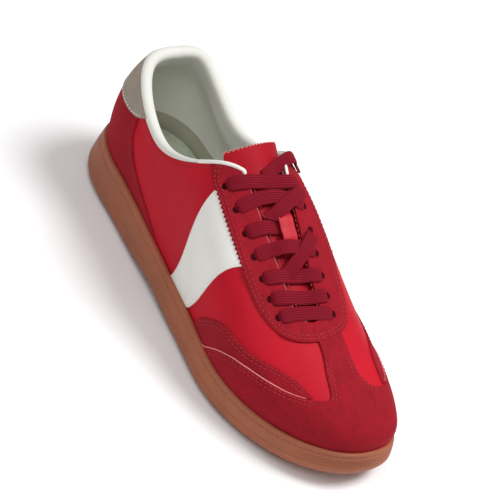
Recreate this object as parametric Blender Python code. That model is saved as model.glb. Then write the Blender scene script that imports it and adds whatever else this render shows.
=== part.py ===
"""Right tennis shoe with a cupped rubber sole, built from named sections.

Frame: +X runs from heel to toe, +Y to the inner (medial) side of the foot, +Z up.
The origin lies under the middle of the sole, on the plane it stands on.
Tables are in millimetres; every mesh is written in metres.
"""

import bpy
import bmesh
import numpy as np

MM = 0.001
GAP = 0.3                    # air between pieces that touch on the real shoe

# ---------------------------------------------------------------- driving sizes
RIM_STEP = 0.8               # the upper runs straight this far past the rim of the cup
CUP_WALL = 2.6               # rubber wall beside the upper
UPPER_WALL = 2.2             # leather, lining and foam between them
COLLAR_PAD = 3.4             # extra thickness of the padded collar
COLLAR_PAD_DEPTH = 30.0      # how far the padding reaches down from the collar line
INSOLE_THICKNESS = 4.0
INSOLE_EDGE = 0.8            # its edges are cut off by this much
INSOLE_CLEAR = 0.15
SPRING_START = 72.0          # the sole lifts off the floor in front of this place
TOE_SPRING = 9.0             # and is this high at the tip
SOLE_FRONT = 138.0
ARCH_RISE = 2.4
ARCH_BACK, ARCH_FRONT = -56.0, 16.0
PAD_DEPTH = 1.4              # how far the heel and forefoot pads stand below the border
PAD_INSET = 10.5
HEEL_PAD_FRONT, FOREFOOT_PAD_BACK = -50.0, 10.0
PAD_RAMP = 2.0
PAD_DRAFT = 0.5              # the pads are this much narrower at the floor
SPRING_ROW = 12.0            # one more row of the sole stands this far into the toe spring
BEVEL_INSET = 2.6            # width of the bevel round the border, and
BEVEL_TOP = 5.5              # the height above the border at which the wall is widest
RIM_ROUND = 0.9              # the rim's outer edge is rounded off by this much

# ------------------------------------------------------------------- section table
# One row for each section from the heel to the toe. "sole" columns are the outline of
# the sole, "top" columns the line that the section rises to: the collar at the back, the
# middle of the instep in front. lean is the angle of the section at its top, measured
# from upright; pitch is the fall of the instep line there; low and high say how far each
# end of the section keeps its own direction, as a part of the section's height.
SECTION_COLUMNS = ("sole_x", "sole_out", "sole_in", "top_x", "top_out", "top_in", "top_z",
                   "lean", "pitch", "low", "high")
SECTIONS = (
    # heel back
    (-138.0, 0.0, 0.0, -121.5, 0.0, 0.0, 90.0, 26, 0, 0.38, 0.34),
    # heel corner
    (-129.0, -24.0, 23.0, -118.0, -18.5, 16.0, 89.0, 24, 0, 0.38, 0.34),
    # heel side
    (-108.0, -35.5, 34.0, -105.0, -28.8, 22.0, 83.0, 16, 0, 0.37, 0.34),
    # heel front
    (-80.0, -38.0, 33.5, -83.5, -32.8, 24.5, 73.0, 12, 0, 0.35, 0.32),
    # low point of the collar
    (-52.0, -40.0, 30.5, -61.5, -34.0, 25.5, 71.0, 12, 0, 0.34, 0.32),
    # waist
    (-27.0, -42.0, 30.5, -41.5, -33.0, 24.5, 81.0, 18, 4, 0.35, 0.32),
    # waist front
    (-7.0, -43.5, 33.0, -28.0, -28.8, 21.0, 91.5, 32, 12, 0.37, 0.34),
    # front corner of the collar
    (13.0, -45.0, 37.0, -15.0, -20.3, 10.5, 98.0, 54, 22, 0.40, 0.36),
    # instep
    (35.0, -47.5, 43.0, 5.0, -8.5, -1.5, 90.4, 82, 27, 0.42, 0.38),
    # ball
    (58.0, -49.0, 47.8, 38.0, -4.5, -4.5, 72.8, 90, 27, 0.42, 0.40),
    # ball front
    (81.0, -45.0, 49.0, 67.0, -3.0, -3.0, 59.0, 90, 22, 0.42, 0.42),
    # toe joint
    (103.0, -36.5, 46.0, 87.0, 1.5, 1.5, 52.3, 90, 17, 0.42, 0.43),
    # toe corner
    (122.0, -23.5, 38.0, 101.0, 5.0, 5.0, 48.3, 90, 16, 0.44, 0.44),
    # toe round
    (134.0, -8.0, 27.5, 109.0, 7.5, 7.5, 46.0, 90, 17, 0.48, 0.45),
    # toe tip
    (138.0, 9.5, 9.5, 112.0, 9.0, 9.0, 45.1, 90, 18, 0.50, 0.46),
)
LAST_SECTION = len(SECTIONS) - 1

# Heights along the sole: rim of the cup and its floor above the border's underside, and
# how far the rim stands in from the outline.
HEIGHT_COLUMNS = ("x", "rim", "floor", "flare")
HEIGHTS = (
    (-138.0, 27.0, 18.5, 3.0),
    (-95.0, 26.6, 18.0, 2.6),
    (-50.0, 25.0, 16.5, 2.2),
    (5.0, 21.5, 12.5, 2.0),
    (60.0, 19.0, 10.0, 2.0),
    (110.0, 18.0, 9.5, 1.8),
    (138.0, 17.6, 9.5, 2.0),
)

# The throat: half of the gap between the two eyestays, and its middle line.
THROAT_COLUMNS = ("x", "half_gap", "middle")
THROAT = (
    (-20.0, 14.0, -5.0),
    (-10.0, 13.4, -5.0),
    (25.0, 11.0, -5.0),
    (56.0, 8.6, -4.2),
    (70.0, 8.6, -3.0),
)
THROAT_BACK = -30.0
THROAT_FRONT = 67.5
THROAT_ROUND = 9.0           # length of the rounded front end

ROWS_PER_SECTION = 4
WALL_COLUMNS = 11
FOOT_COLUMNS = 2             # of these, the ones that stand inside the cup
SIDES = (1, -1)              # 1 is the outer side (-Y), -1 the inner side (+Y)


# ------------------------------------------------------------------------- curves
def spline(knots, values, period=None):
    """Cubic spline through values at knots; closed when a period is given."""
    t = np.asarray(knots, float)
    y = np.asarray(values, float).reshape(len(t), -1)
    if period:
        t = np.append(t, t[0] + period)
        y = np.vstack([y, y[:1]])
    n = len(t)
    h = np.diff(t)
    slope = np.diff(y, axis=0) / h[:, None]
    a = np.zeros((n, n))
    r = np.zeros_like(y)
    for i in range(1, n - 1):
        a[i, i - 1:i + 2] = h[i - 1], 2 * (h[i - 1] + h[i]), h[i]
        r[i] = 6 * (slope[i] - slope[i - 1])
    if period:
        a[0, 0], a[0, -1] = 1, -1
        a[-1, :2] = 2 * h[0], h[0]
        a[-1, -2:] = h[-1], 2 * h[-1]
        r[-1] = 6 * (slope[0] - slope[-1])
    else:
        a[0, 0] = a[-1, -1] = 1
    m = np.linalg.solve(a, r)

    def at(q):
        q = np.asarray(q, float)
        if period:
            q = t[0] + np.mod(q - t[0], period)
        k = np.clip(np.searchsorted(t, q, side="right") - 1, 0, n - 2)
        left, right = (q - t[k])[..., None], (t[k + 1] - q)[..., None]
        w = h[k][..., None]
        out = (m[k] * right ** 3 + m[k + 1] * left ** 3) / (6 * w)
        out += (y[k] / w - m[k] * w / 6) * right + (y[k + 1] / w - m[k + 1] * w / 6) * left
        return out
    return at


def smooth(edge0, edge1, x):
    q = np.clip((np.asarray(x, float) - edge0) / (edge1 - edge0), 0, 1)
    return q * q * (3 - 2 * q)


def column(table, names, name):
    return [row[names.index(name)] for row in table]


def section_loop():
    """Closed splines of the section table: outer side up to the toe, inner side back."""
    get = {name: column(SECTIONS, SECTION_COLUMNS, name) for name in SECTION_COLUMNS}
    steps = []
    for i in range(LAST_SECTION):
        out = np.hypot(get["sole_x"][i + 1] - get["sole_x"][i],
                       get["sole_out"][i + 1] - get["sole_out"][i])
        inner = np.hypot(get["sole_x"][i + 1] - get["sole_x"][i],
                         get["sole_in"][i + 1] - get["sole_in"][i])
        steps.append((out + inner) / 2)
    length = sum(steps)
    knots = np.concatenate([[0], np.cumsum(steps)]) / length
    back = range(LAST_SECTION - 1, 0, -1)
    loop_knots = list(knots) + [2 - knots[i] for i in back]

    def loop(out_name, in_name):
        values = list(get[out_name]) + [get[in_name][i] for i in back]
        return spline(loop_knots, values, period=2.0)
    sole = [loop("sole_x", "sole_x"), loop("sole_out", "sole_in")]
    top = [loop("top_x", "top_x"), loop("top_out", "top_in"), loop("top_z", "top_z")]
    shape = {name: loop(name, name) for name in ("lean", "pitch", "low", "high")}
    return knots, sole, top, shape


KNOTS, SOLE_LOOP, TOP_LOOP, SHAPE_LOOP = section_loop()
RIM, FLOOR, FLARE = (spline(column(HEIGHTS, HEIGHT_COLUMNS, "x"),
                            column(HEIGHTS, HEIGHT_COLUMNS, name))
                     for name in ("rim", "floor", "flare"))


def loop_place(s, side):
    """Place on the closed loop of a point at s (0 heel, 1 toe) on one side."""
    s = np.asarray(s, float)
    return s if side > 0 else 2 - s


def outline(s, side, inset):
    """Point of the sole's outline, moved inwards, and its outward direction."""
    q = loop_place(s, side)
    point = np.concatenate([f(q) for f in SOLE_LOOP], axis=-1)
    step = 1e-4
    ahead = np.concatenate([f(q + step) - f(q - step) for f in SOLE_LOOP], axis=-1)
    ahead /= np.linalg.norm(ahead, axis=-1, keepdims=True)
    outward = np.stack([ahead[..., 1], -ahead[..., 0]], axis=-1)
    return point - outward * np.asarray(inset, float)[..., None], outward


def spring(x):
    lift = np.clip((np.asarray(x, float) - SPRING_START) / (SOLE_FRONT - SPRING_START), 0, 2)
    return TOE_SPRING * lift ** 2


def rim_height(x):
    return RIM(x)[..., 0] + spring(x)


def floor_height(x):
    return FLOOR(x)[..., 0] + spring(x)


def flare(s, side):
    x = SOLE_LOOP[0](loop_place(s, side))[..., 0]
    return FLARE(x)[..., 0]


# -------------------------------------------------------------------------- upper
V_RIM = 0.16                 # share of each section that stands inside the cup


def section_controls(s, side):
    """Foot, rim point, two handles and top of the section at s."""
    q = loop_place(s, side)
    inset = flare(s, side) + CUP_WALL + GAP
    plan, outward = outline(s, side, inset)
    foot = np.concatenate([plan, (floor_height(plan[..., 0]) + GAP)[..., None]], axis=-1)
    rim = foot.copy()
    rim[..., 2] = rim_height(plan[..., 0]) + RIM_STEP
    top = np.concatenate([f(q) for f in TOP_LOOP], axis=-1)
    mirror = np.concatenate([f(2 - q) for f in TOP_LOOP], axis=-1)
    joined = (np.asarray(s) >= RIDGE_START)[..., None]
    top = np.where(joined, (top + mirror) / 2, top)
    shape = {name: f(q) for name, f in SHAPE_LOOP.items()}
    lean = np.radians(np.minimum(shape["lean"], 90))
    pitch = np.radians(shape["pitch"])
    across, along = outward[..., 1:2], outward[..., 0:1]
    level = np.concatenate([along * np.cos(pitch), across, -along * np.sin(pitch)], axis=-1)
    level /= np.linalg.norm(level, axis=-1, keepdims=True)
    down = np.zeros_like(level)
    down[..., 2] = -1
    end = level * np.sin(lean) + down * np.cos(lean)
    size = np.linalg.norm(top - rim, axis=-1, keepdims=True)
    start = np.concatenate([outward * np.sin(RIM_TILT), np.full_like(lean, np.cos(RIM_TILT))],
                           axis=-1)
    return foot, rim, rim + start * size * shape["low"], top + end * size * shape["high"], top


RIM_TILT = np.radians(10)
RIDGE_START = KNOTS[9] - 0.25 * (KNOTS[9] - KNOTS[8])


def upper_point(s, v, side):
    """Outer surface of the upper: v runs from the feather line (0) to the top (1)."""
    foot, rim, low, high, top = section_controls(s, side)
    v = np.asarray(v, float)[..., None]
    straight = foot + (rim - foot) * np.clip(v / V_RIM, 0, 1)
    t = np.clip((v - V_RIM) / (1 - V_RIM), 0, 1)
    arc = ((1 - t) ** 3 * rim + 3 * t * (1 - t) ** 2 * low
           + 3 * t ** 2 * (1 - t) * high + t ** 3 * top)
    return np.where(v < V_RIM, straight, arc)


def upper_normal(s, v, side):
    """Outward direction of the surface, read a little inside its edges."""
    s = np.asarray(s, float)
    v = np.asarray(v, float)
    ds, dv = 2e-3, 4e-3
    v = np.clip(v, dv, 1 - dv)
    along = upper_point(s + ds, v, side) - upper_point(s - ds, v, side)
    upward = upper_point(s, v + dv, side) - upper_point(s, v - dv, side)
    n = np.cross(along, upward) * side
    return n / np.linalg.norm(n, axis=-1, keepdims=True)


def throat_gap(x):
    """Half width of the throat at x, and the y of its middle line."""
    names = THROAT_COLUMNS
    knots = column(THROAT, names, "x")
    half = np.interp(x, knots, column(THROAT, names, "half_gap"))
    middle = np.interp(x, knots, column(THROAT, names, "middle"))
    closing = np.clip((np.asarray(x) - THROAT_FRONT + THROAT_ROUND) / THROAT_ROUND, 0, 1)
    half = np.where(np.asarray(x) < THROAT_BACK, 0, half * np.sqrt(1 - closing ** 2))
    return half, middle


def edge_v(s, side):
    """Where the section at s ends: at its top, or at the edge of the throat."""
    def outside(v):
        p = upper_point(s, v, side)
        half, middle = throat_gap(p[..., 0])
        return abs(p[..., 1] - middle) - half
    if outside(1.0) >= 0:
        return 1.0
    low, high = 0.4, 1.0
    for _ in range(40):
        mid = (low + high) / 2
        if outside(mid) >= 0:
            low = mid
        else:
            high = mid
    return low


def throat_front_s():
    """The section whose top is the front end of the throat."""
    low, high = RIDGE_START, 1.0
    for _ in range(40):
        mid = (low + high) / 2
        if upper_point(mid, 1.0, 1)[0] < THROAT_FRONT:
            low = mid
        else:
            high = mid
    return high


def wall_thickness(s, v, side, v_end):
    """Wall at a point: thin at the sole, padded round the collar, rounded at its rim."""
    top = upper_point(s, v_end, side)
    here = upper_point(s, v, side)
    below = np.linalg.norm(top - here, axis=-1)
    collar = 1 - smooth(KNOTS[5], KNOTS[7], s)
    pad = COLLAR_PAD * collar * (1 - smooth(8, COLLAR_PAD_DEPTH, below))
    pad = pad * (0.35 + 0.65 * smooth(0, 9, below))
    return UPPER_WALL + pad


# ----------------------------------------------------------------------- mesh tools
def material(name, colour, roughness, metallic=0.0):
    m = bpy.data.materials.new(name)
    m.use_nodes = True
    shader = m.node_tree.nodes["Principled BSDF"]
    shader.inputs["Base Color"].default_value = (*colour, 1.0)
    shader.inputs["Roughness"].default_value = roughness
    shader.inputs["Metallic"].default_value = metallic
    return m


def make_object(name, bm, finish, sharp_angle=40):
    bmesh.ops.recalc_face_normals(bm, faces=bm.faces)
    if bm.calc_volume(signed=True) < 0:
        bmesh.ops.reverse_faces(bm, faces=bm.faces)
    mesh = bpy.data.meshes.new(name)
    bm.to_mesh(mesh)
    bm.free()
    mesh.shade_smooth()
    mesh.set_sharp_from_angle(angle=np.radians(sharp_angle))
    obj = bpy.data.objects.new(name, mesh)
    obj.data.materials.append(finish)
    bpy.context.scene.collection.objects.link(obj)
    return obj


def loft_rings(rings, strip_first, strip_last):
    """Closed body from rings around the shoe. Each ring is outer side, then inner side.

    The first and last rings are closed by strips that run straight across the shoe.
    """
    bm = bmesh.new()
    loops = [[bm.verts.new(p * MM) for p in ring] for ring in rings]
    n = len(loops[0])
    for a, b in zip(loops, loops[1:]):
        for i in range(n):
            j = (i + 1) % n
            bm.faces.new((a[i], a[j], b[j], b[i]))
    half = n // 2
    for loop, wanted in ((loops[0], strip_first), (loops[-1], strip_last)):
        if not wanted:
            continue
        for i in range(half):
            corners = [loop[i], loop[i + 1], loop[(n - i - 1) % n], loop[(n - i) % n]]
            unique = list(dict.fromkeys(corners))
            bm.faces.new(unique)
    return bm


def ring(rows, inset_of, height_of):
    """Ring of points round the shoe at the given rows, outer side first."""
    out = []
    for side in SIDES:
        ordered = rows if side > 0 else rows[::-1]
        keep = ordered[:-1]
        for s in keep:
            plan, _ = outline(s, side, inset_of(s, side))
            out.append(np.array([plan[0], plan[1], height_of(s, side, plan[0])]))
    return out


def section_rows(extra=()):
    rows = []
    for a, b in zip(KNOTS, KNOTS[1:]):
        rows += list(np.linspace(a, b, ROWS_PER_SECTION, endpoint=False))
    rows = sorted(set(rows + [1.0] + list(extra)))
    kept = [rows[0]]
    for value in rows[1:]:
        if value - kept[-1] > 0.0015:
            kept.append(value)
    kept[-1] = 1.0
    return np.array(kept)


def row_at_x(x):
    """The s at which the outline passes x."""
    low, high = 0.0, 1.0
    for _ in range(40):
        mid = (low + high) / 2
        if SOLE_LOOP[0](mid)[0] < x:
            low = mid
        else:
            high = mid
    return mid


# ------------------------------------------------------------------------- outsole
def arch(x):
    middle, half = (ARCH_BACK + ARCH_FRONT) / 2, (ARCH_FRONT - ARCH_BACK) / 2
    q = np.clip(abs(x - middle) / half, 0, 1)
    return ARCH_RISE * (0.5 + 0.5 * np.cos(np.pi * q))


def pad_share(s):
    """1 where a tread pad reaches the floor, 0 under the arch between the two pads."""
    x = SOLE_LOOP[0](np.array(s))[0]
    heel = x <= HEEL_PAD_FRONT
    forefoot = x >= FOREFOOT_PAD_BACK
    return 1.0 if heel or forefoot else 0.0


def make_outsole(finish):
    nudge = 0.01
    steps = [HEEL_PAD_FRONT - nudge, HEEL_PAD_FRONT + PAD_RAMP, FOREFOOT_PAD_BACK - PAD_RAMP,
             FOREFOOT_PAD_BACK + nudge, SPRING_START + SPRING_ROW]
    rows = section_rows([row_at_x(x) for x in steps])

    def border(s, side, x):
        return PAD_DEPTH + arch(x) + spring(x)

    def pad(s, side, x):
        return (arch(x) + PAD_DEPTH) * (1 - pad_share(s)) + spring(x)

    def pad_side(s, side, x):
        return min(border(s, side, x), pad(s, side, x) + PAD_DEPTH)

    def middle_height(s, side, x):
        return (border(s, side, x) + BEVEL_TOP + rim_height(x)) / 2

    def above(height):
        return lambda s, side, x: border(s, side, x) + height

    def fixed(inset):
        return lambda s, side: inset

    def wall(share, extra=0.0):
        return lambda s, side: share * flare(s, side) + extra

    def rim(drop):
        return lambda s, side, x: rim_height(x) - drop

    rings = [
        ring(rows, fixed(PAD_INSET + PAD_DRAFT), pad),
        ring(rows, fixed(PAD_INSET), pad_side),
        ring(rows, fixed(BEVEL_INSET), above(0.25 * BEVEL_INSET)),
        ring(rows, fixed(0.2 * BEVEL_INSET), above(BEVEL_INSET)),
        ring(rows, fixed(0.0), above(BEVEL_TOP)),
        ring(rows, wall(0.55), middle_height),
        ring(rows, wall(1.0), rim(RIM_ROUND)),
        ring(rows, wall(1.0, RIM_ROUND), rim(0.0)),
        ring(rows, wall(1.0, CUP_WALL), rim(0.0)),
        ring(rows, wall(1.0, CUP_WALL), lambda s, side, x: floor_height(x)),
    ]
    return make_object("outsole", loft_rings(rings, True, True), finish)


# -------------------------------------------------------------------------- insole
def make_insole(finish):
    rows = section_rows()
    beside = CUP_WALL + 2 * GAP + UPPER_WALL + INSOLE_CLEAR

    def inset(extra):
        return lambda s, side: flare(s, side) + beside + extra

    def height(extra):
        return lambda s, side, x: floor_height(x) + GAP + extra

    rings = [
        ring(rows, inset(INSOLE_EDGE), height(0.0)),
        ring(rows, inset(0.0), height(INSOLE_EDGE)),
        ring(rows, inset(0.0), height(INSOLE_THICKNESS - INSOLE_EDGE)),
        ring(rows, inset(INSOLE_EDGE), height(INSOLE_THICKNESS)),
    ]
    return make_object("insole", loft_rings(rings, True, True), finish)


# --------------------------------------------------------------------------- upper
def upper_rows():
    """Rows of the upper, closer together at the front end of the throat, and that place."""
    front = throat_front_s()
    step = KNOTS[1] / ROWS_PER_SECTION
    near = [front - step * share for share in (0.9, 0.5, 0.25, 0.1, 0.03)]
    rows = [s for s in section_rows() if s < front - step * 1.2] + near + [front]
    return rows + [s for s in section_rows() if s > front + step * 0.3], front


def wall_points(s, v, side, v_end):
    """Outer and inner point of the wall."""
    outer = upper_point(s, v, side)
    normal = upper_normal(s, v, side)
    if v_end == 1.0 and v == 1.0 and s >= RIDGE_START:
        normal = normal + upper_normal(s, v, -side)
    if v <= V_RIM:
        normal[2] = 0
    normal /= np.linalg.norm(normal)
    inner = outer - normal * wall_thickness(s, v, side, v_end)
    if v == 0:
        inner[2] = outer[2]
    return outer, inner


def make_upper(finish):
    rows, front = upper_rows()
    first_joined = rows.index(front)
    last, top = len(rows) - 1, WALL_COLUMNS - 1
    shares = np.linspace(0, 1, WALL_COLUMNS)
    foot = shares[FOOT_COLUMNS]
    bm = bmesh.new()
    grid = {}
    for side in SIDES:
        for i, s in enumerate(rows):
            v_end = 1.0 if i >= first_joined else edge_v(s, side)
            for j, share in enumerate(shares):
                joined = i in (0, last) or (j == top and i >= first_joined)
                key = (0 if joined else side, i, j)
                if key in grid:
                    continue
                rise = (share - foot) / (1 - foot)
                v = V_RIM * share / foot if j <= FOOT_COLUMNS else V_RIM + (v_end - V_RIM) * rise
                grid[key] = [bm.verts.new(p * MM) for p in wall_points(s, v, side, v_end)]

    def at(side, i, j):
        return grid.get((side, i, j)) or grid[(0, i, j)]

    for side in SIDES:
        for i in range(last):
            for j in range(top):
                quad = [at(side, i, j), at(side, i + 1, j), at(side, i + 1, j + 1),
                        at(side, i, j + 1)]
                bm.faces.new([pair[0] for pair in quad])
                bm.faces.new([pair[1] for pair in reversed(quad)])
            a, b = at(side, i, 0), at(side, i + 1, 0)
            bm.faces.new((a[0], a[1], b[1], b[0]))
            if i < first_joined:
                a, b = at(side, i, top), at(side, i + 1, top)
                bm.faces.new((a[0], b[0], b[1], a[1]))
    return make_object("upper", bm, finish, 50)


# -------------------------------------------------------------------------- tongue
# Sections of the tongue: x and z of its outer surface on the middle line, y of that line,
# half width, and the radius of its crown.
TONGUE_COLUMNS = ("x", "z", "middle", "half_width", "crown")
TONGUE = (
    (-28.0, 104.6, -4.0, 15.2, 34.0),
    (-16.0, 98.2, -4.6, 17.0, 23.0),
    (5.0, 87.4, -5.0, 21.0, 33.0),
    (30.0, 74.2, -4.8, 20.0, 38.0),
    (52.0, 62.85, -4.0, 18.5, 33.0),
    (72.0, 54.15, -2.6, 17.0, 31.0),
)
TONGUE_THICKNESS = 3.6
TONGUE_ROWS, TONGUE_ACROSS = 20, 10


def make_tongue(finish):
    knots = column(TONGUE, TONGUE_COLUMNS, "x")
    at = {name: spline(knots, column(TONGUE, TONGUE_COLUMNS, name))
          for name in TONGUE_COLUMNS[1:]}
    bm = bmesh.new()
    grid = []
    for x in np.linspace(knots[0], knots[-1], TONGUE_ROWS):
        z, middle, half, crown = (float(at[name](x)[0]) for name in TONGUE_COLUMNS[1:])
        slope = float(at["z"](x + 0.5)[0] - at["z"](x - 0.5)[0])
        fall = np.array([slope, 0, -1.0]) / np.hypot(slope, 1)
        row = []
        for share in np.linspace(-1, 1, TONGUE_ACROSS + 1):
            y = share * half
            drop = crown - np.sqrt(crown ** 2 - y ** 2)
            turn = y / crown
            outer = np.array([x, middle + y, z]) + fall * drop
            inward = fall * np.sqrt(1 - turn ** 2) + np.array([0, -turn, 0])
            thick = TONGUE_THICKNESS * (1 - 0.45 * abs(share) ** 3)
            row.append((bm.verts.new(outer * MM), bm.verts.new((outer + inward * thick) * MM)))
        grid.append(row)
    for a, b in zip(grid, grid[1:]):
        for j in range(TONGUE_ACROSS):
            bm.faces.new((a[j][0], b[j][0], b[j + 1][0], a[j + 1][0]))
            bm.faces.new((a[j][1], a[j + 1][1], b[j + 1][1], b[j][1]))
        for j in (0, -1):
            bm.faces.new((a[j][0], a[j][1], b[j][1], b[j][0]))
    for row in (grid[0], grid[-1]):
        for j in range(TONGUE_ACROSS):
            bm.faces.new((row[j][0], row[j + 1][0], row[j + 1][1], row[j][1]))
    return make_object("tongue", bm, finish, 60)


# ---------------------------------------------------------------------------- lace
LACE_WIDTH, LACE_THICKNESS = 9.8, 1.4
LACE_CLEAR = 0.45            # air under the lace where it lies on the eyestays
LACE_EDGE = 0.35             # its edges are cut off by this much
LACE_STATIONS = 17
EYELET_ROWS = 7              # row 1 is the top one
EYELETS_FRONT, EYELETS_BACK = 62.6, -8.4
EYELET_BOW = 3.5             # the middle row stands this far in front of even spacing
EYELET_HALF_FRONT, EYELET_HALF_BACK = 17.0, 22.5
EYELET_SHIFT = 1.5           # both rows lie this far to the outer side of the throat's middle
EYELET_SKEW = 1.9            # the inner row of eyelets stands a little further forward
LEVEL_PLACES = (0.0, 0.29, 0.42, 0.54, 0.66, 0.8, 1.0)

# Each strap runs from an eyelet of the outer side, over the middle line at a row or
# between two, to an eyelet of the inner side. start is the share at which it begins, and
# levels are its heights above the instep at the places above.
STRAP_COLUMNS = ("node", "outer_row", "middle_row", "inner_row", "start", "levels")
STRAPS = (
    ("lace_bar_1", 1, 1.05, 1.05, 0.0, (0, 0, -2.0, -2.4, -2.0, 0, 0)),
    ("lace_cross_upper", 2, 1.95, 2, 0.0, (0, 0, 0.2, 0.3, 0.3, 0.2, 0)),
    ("lace_cross_upper", 2.7, 2.2, 1.45, 0.38, (1.2, 1.2, 1.2, 1.2, 1.3, 2.1, 2.2)),
    ("lace_cross_lower", 3, 3.0, 4, 0.0, (0, 0.25, -2.3, -2.4, -2.35, 1.2, 0)),
    ("lace_cross_lower", 4, 3.85, 3, 0.0, (0, 0.6, 2.5, 2.45, 2.45, 1.7, 0.2)),
    ("lace_bar_5", 5, 5, 5, 0.0, (0, 0.15, -1.7, -2.1, -1.7, 0.15, 0)),
    ("lace_bar_6", 6, 6, 6, 0.0, (0, 0.25, -1.6, -2.0, -1.6, 0.25, 0)),
    ("lace_bar_7", 7, 7, 7, 0.0, (0, 0, 0, 0, 0, 0, 0)),
)
EYELET_REACH = 2.6           # the straps stop this far before the middle of an eyelet

# The keeper on the tongue: x, and the height of its underside above the instep line.
KEEPER_WIDTH, KEEPER_THICKNESS, KEEPER_MIDDLE = 9.5, 1.2, -5.0
KEEPER_COLUMNS = ("x", "level")
KEEPER = (
    (7.5, -2.2),
    (11.0, -1.8),
    (14.5, 0.4),
    (20.0, 0.55),
    (27.8, 0.9),
    (31.2, -1.4),
    (34.5, -2.2),
)


def eyelet(row, side):
    """Place in plan of an eyelet, or of a place between two rows of eyelets."""
    share = (EYELET_ROWS - row) / (EYELET_ROWS - 1)
    x = EYELETS_FRONT + (EYELETS_BACK - EYELETS_FRONT) * share - side * EYELET_SKEW
    x += EYELET_BOW * 4 * share * (1 - share)
    half = EYELET_HALF_FRONT + (EYELET_HALF_BACK - EYELET_HALF_FRONT) * share
    return np.array([x, throat_gap(x)[1] - EYELET_SHIFT - side * half])


def on_upper(place, side):
    """Point and normal of the upper's outer surface over a place in plan."""
    tops = column(SECTIONS, SECTION_COLUMNS, "top_x")
    q = np.array([np.interp(place[0], tops, KNOTS), 0.85])
    step = 1e-4
    for _ in range(25):
        here = upper_point(q[0], q[1], side)[:2]
        turn = np.stack([(upper_point(q[0] + step, q[1], side)[:2] - here) / step,
                         (upper_point(q[0], q[1] + step, side)[:2] - here) / step], axis=1)
        q = q + np.clip(np.linalg.solve(turn, place - here), -0.03, 0.03)
    return upper_point(q[0], q[1], side), upper_normal(q[0], q[1], side)


def instep_path(outer_row, middle_row, inner_row):
    """Splines of the points and normals of a line over the instep, eyelet to eyelet."""
    outer, inner = eyelet(outer_row, 1), eyelet(inner_row, -1)
    x = eyelet(middle_row, 0)[0]
    middle = np.array([x, throat_gap(x)[1] - EYELET_SHIFT])
    plan = spline((0.0, 0.5, 1.0), (outer, middle, inner))
    knots, points, normals = [], [], []
    for side, places in ((1, (0.0, 0.1, 0.2)), (-1, (0.8, 0.9, 1.0))):
        for t in places:
            point, normal = on_upper(plan(t), side)
            knots.append(t)
            points.append(point)
            normals.append(normal)
    return spline(knots, points), spline(knots, normals)


def strap_stations(points, normals, level_of, places):
    """Point, direction across and normal of a flat strap at each of its stations."""
    step = 1e-3
    for t in places:
        ahead = points(t + step) - points(t - step)
        ahead /= np.linalg.norm(ahead)
        up = normals(t) - ahead * np.dot(ahead, normals(t))
        up /= np.linalg.norm(up)
        yield points(t) + up * level_of(t), np.cross(ahead, up), up


def strap_mesh(stations, width, thickness, edge):
    """Closed flat strap through its stations; the point of each is under its middle."""
    half = width / 2
    profile = ((-half, edge), (-half + edge, 0), (half - edge, 0), (half, edge),
               (half, thickness - edge), (half - edge, thickness),
               (-half + edge, thickness), (-half, thickness - edge))
    bm = bmesh.new()
    loops = [[bm.verts.new((point + across * a + up * b) * MM) for a, b in profile]
             for point, across, up in stations]
    n = len(profile)
    for a, b in zip(loops, loops[1:]):
        for i in range(n):
            j = (i + 1) % n
            bm.faces.new((a[i], a[j], b[j], b[i]))
    bm.faces.new(loops[0])
    bm.faces.new(loops[-1])
    return bm


def make_strap(name, row, finish):
    _, outer_row, middle_row, inner_row, start, levels = row
    points, normals = instep_path(outer_row, middle_row, inner_row)
    length = np.linalg.norm(points(1.0) - points(0.0))
    height = spline(LEVEL_PLACES, levels)
    reach = EYELET_REACH / length
    places = np.linspace(max(start, reach), 1 - reach, LACE_STATIONS)
    stations = strap_stations(points, normals, lambda t: LACE_CLEAR + height(t)[0], places)
    return make_object(name, strap_mesh(stations, LACE_WIDTH, LACE_THICKNESS, LACE_EDGE), finish)


def make_lace(finish):
    """The straps over the throat; two that share a node are joined where they cross."""
    made = {}
    for row in STRAPS:
        node = row[STRAP_COLUMNS.index("node")]
        if node not in made:
            made[node] = make_strap(node, row, finish)
            continue
        over = make_strap(node + "_over", row, finish)
        over.hide_render = True
        over.display_type = "WIRE"
        join = made[node].modifiers.new("join", "BOOLEAN")
        join.operation = "UNION"
        join.solver = "EXACT"
        join.object = over


def make_keeper(finish):
    knots = column(KEEPER, KEEPER_COLUMNS, "x")
    level = spline(knots, column(KEEPER, KEEPER_COLUMNS, "level"))
    tops = column(SECTIONS, SECTION_COLUMNS, "top_x")
    heights = spline(tops[8:], column(SECTIONS, SECTION_COLUMNS, "top_z")[8:])
    stations = []
    for x in np.linspace(knots[0], knots[-1], LACE_STATIONS):
        slope = heights(x + 0.5)[0] - heights(x - 0.5)[0]
        lift = level(x)[0]
        turn = slope + level(x + 0.5)[0] - level(x - 0.5)[0]
        up = np.array([-turn, 0, 1]) / np.hypot(turn, 1)
        point = np.array([x, KEEPER_MIDDLE, heights(x)[0] + lift])
        stations.append((point, np.array([0, -1.0, 0]), up))
    bm = strap_mesh(stations, KEEPER_WIDTH, KEEPER_THICKNESS, LACE_EDGE)
    return make_object("lace_keeper", bm, finish)


# --------------------------------------------------------------------------- build
def main():
    for obj in list(bpy.data.objects):
        bpy.data.objects.remove(obj)
    gum = material("gum rubber", (0.24, 0.10, 0.045), 0.6)
    red = material("red leather", (0.60, 0.015, 0.02), 0.45)
    grey = material("insole cloth", (0.33, 0.35, 0.29), 0.9)
    crimson = material("crimson lace", (0.25, 0.01, 0.025), 0.8)
    make_outsole(gum)
    make_insole(grey)
    make_upper(red)
    make_tongue(red)
    make_lace(crimson)
    make_keeper(red)


main()
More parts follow.
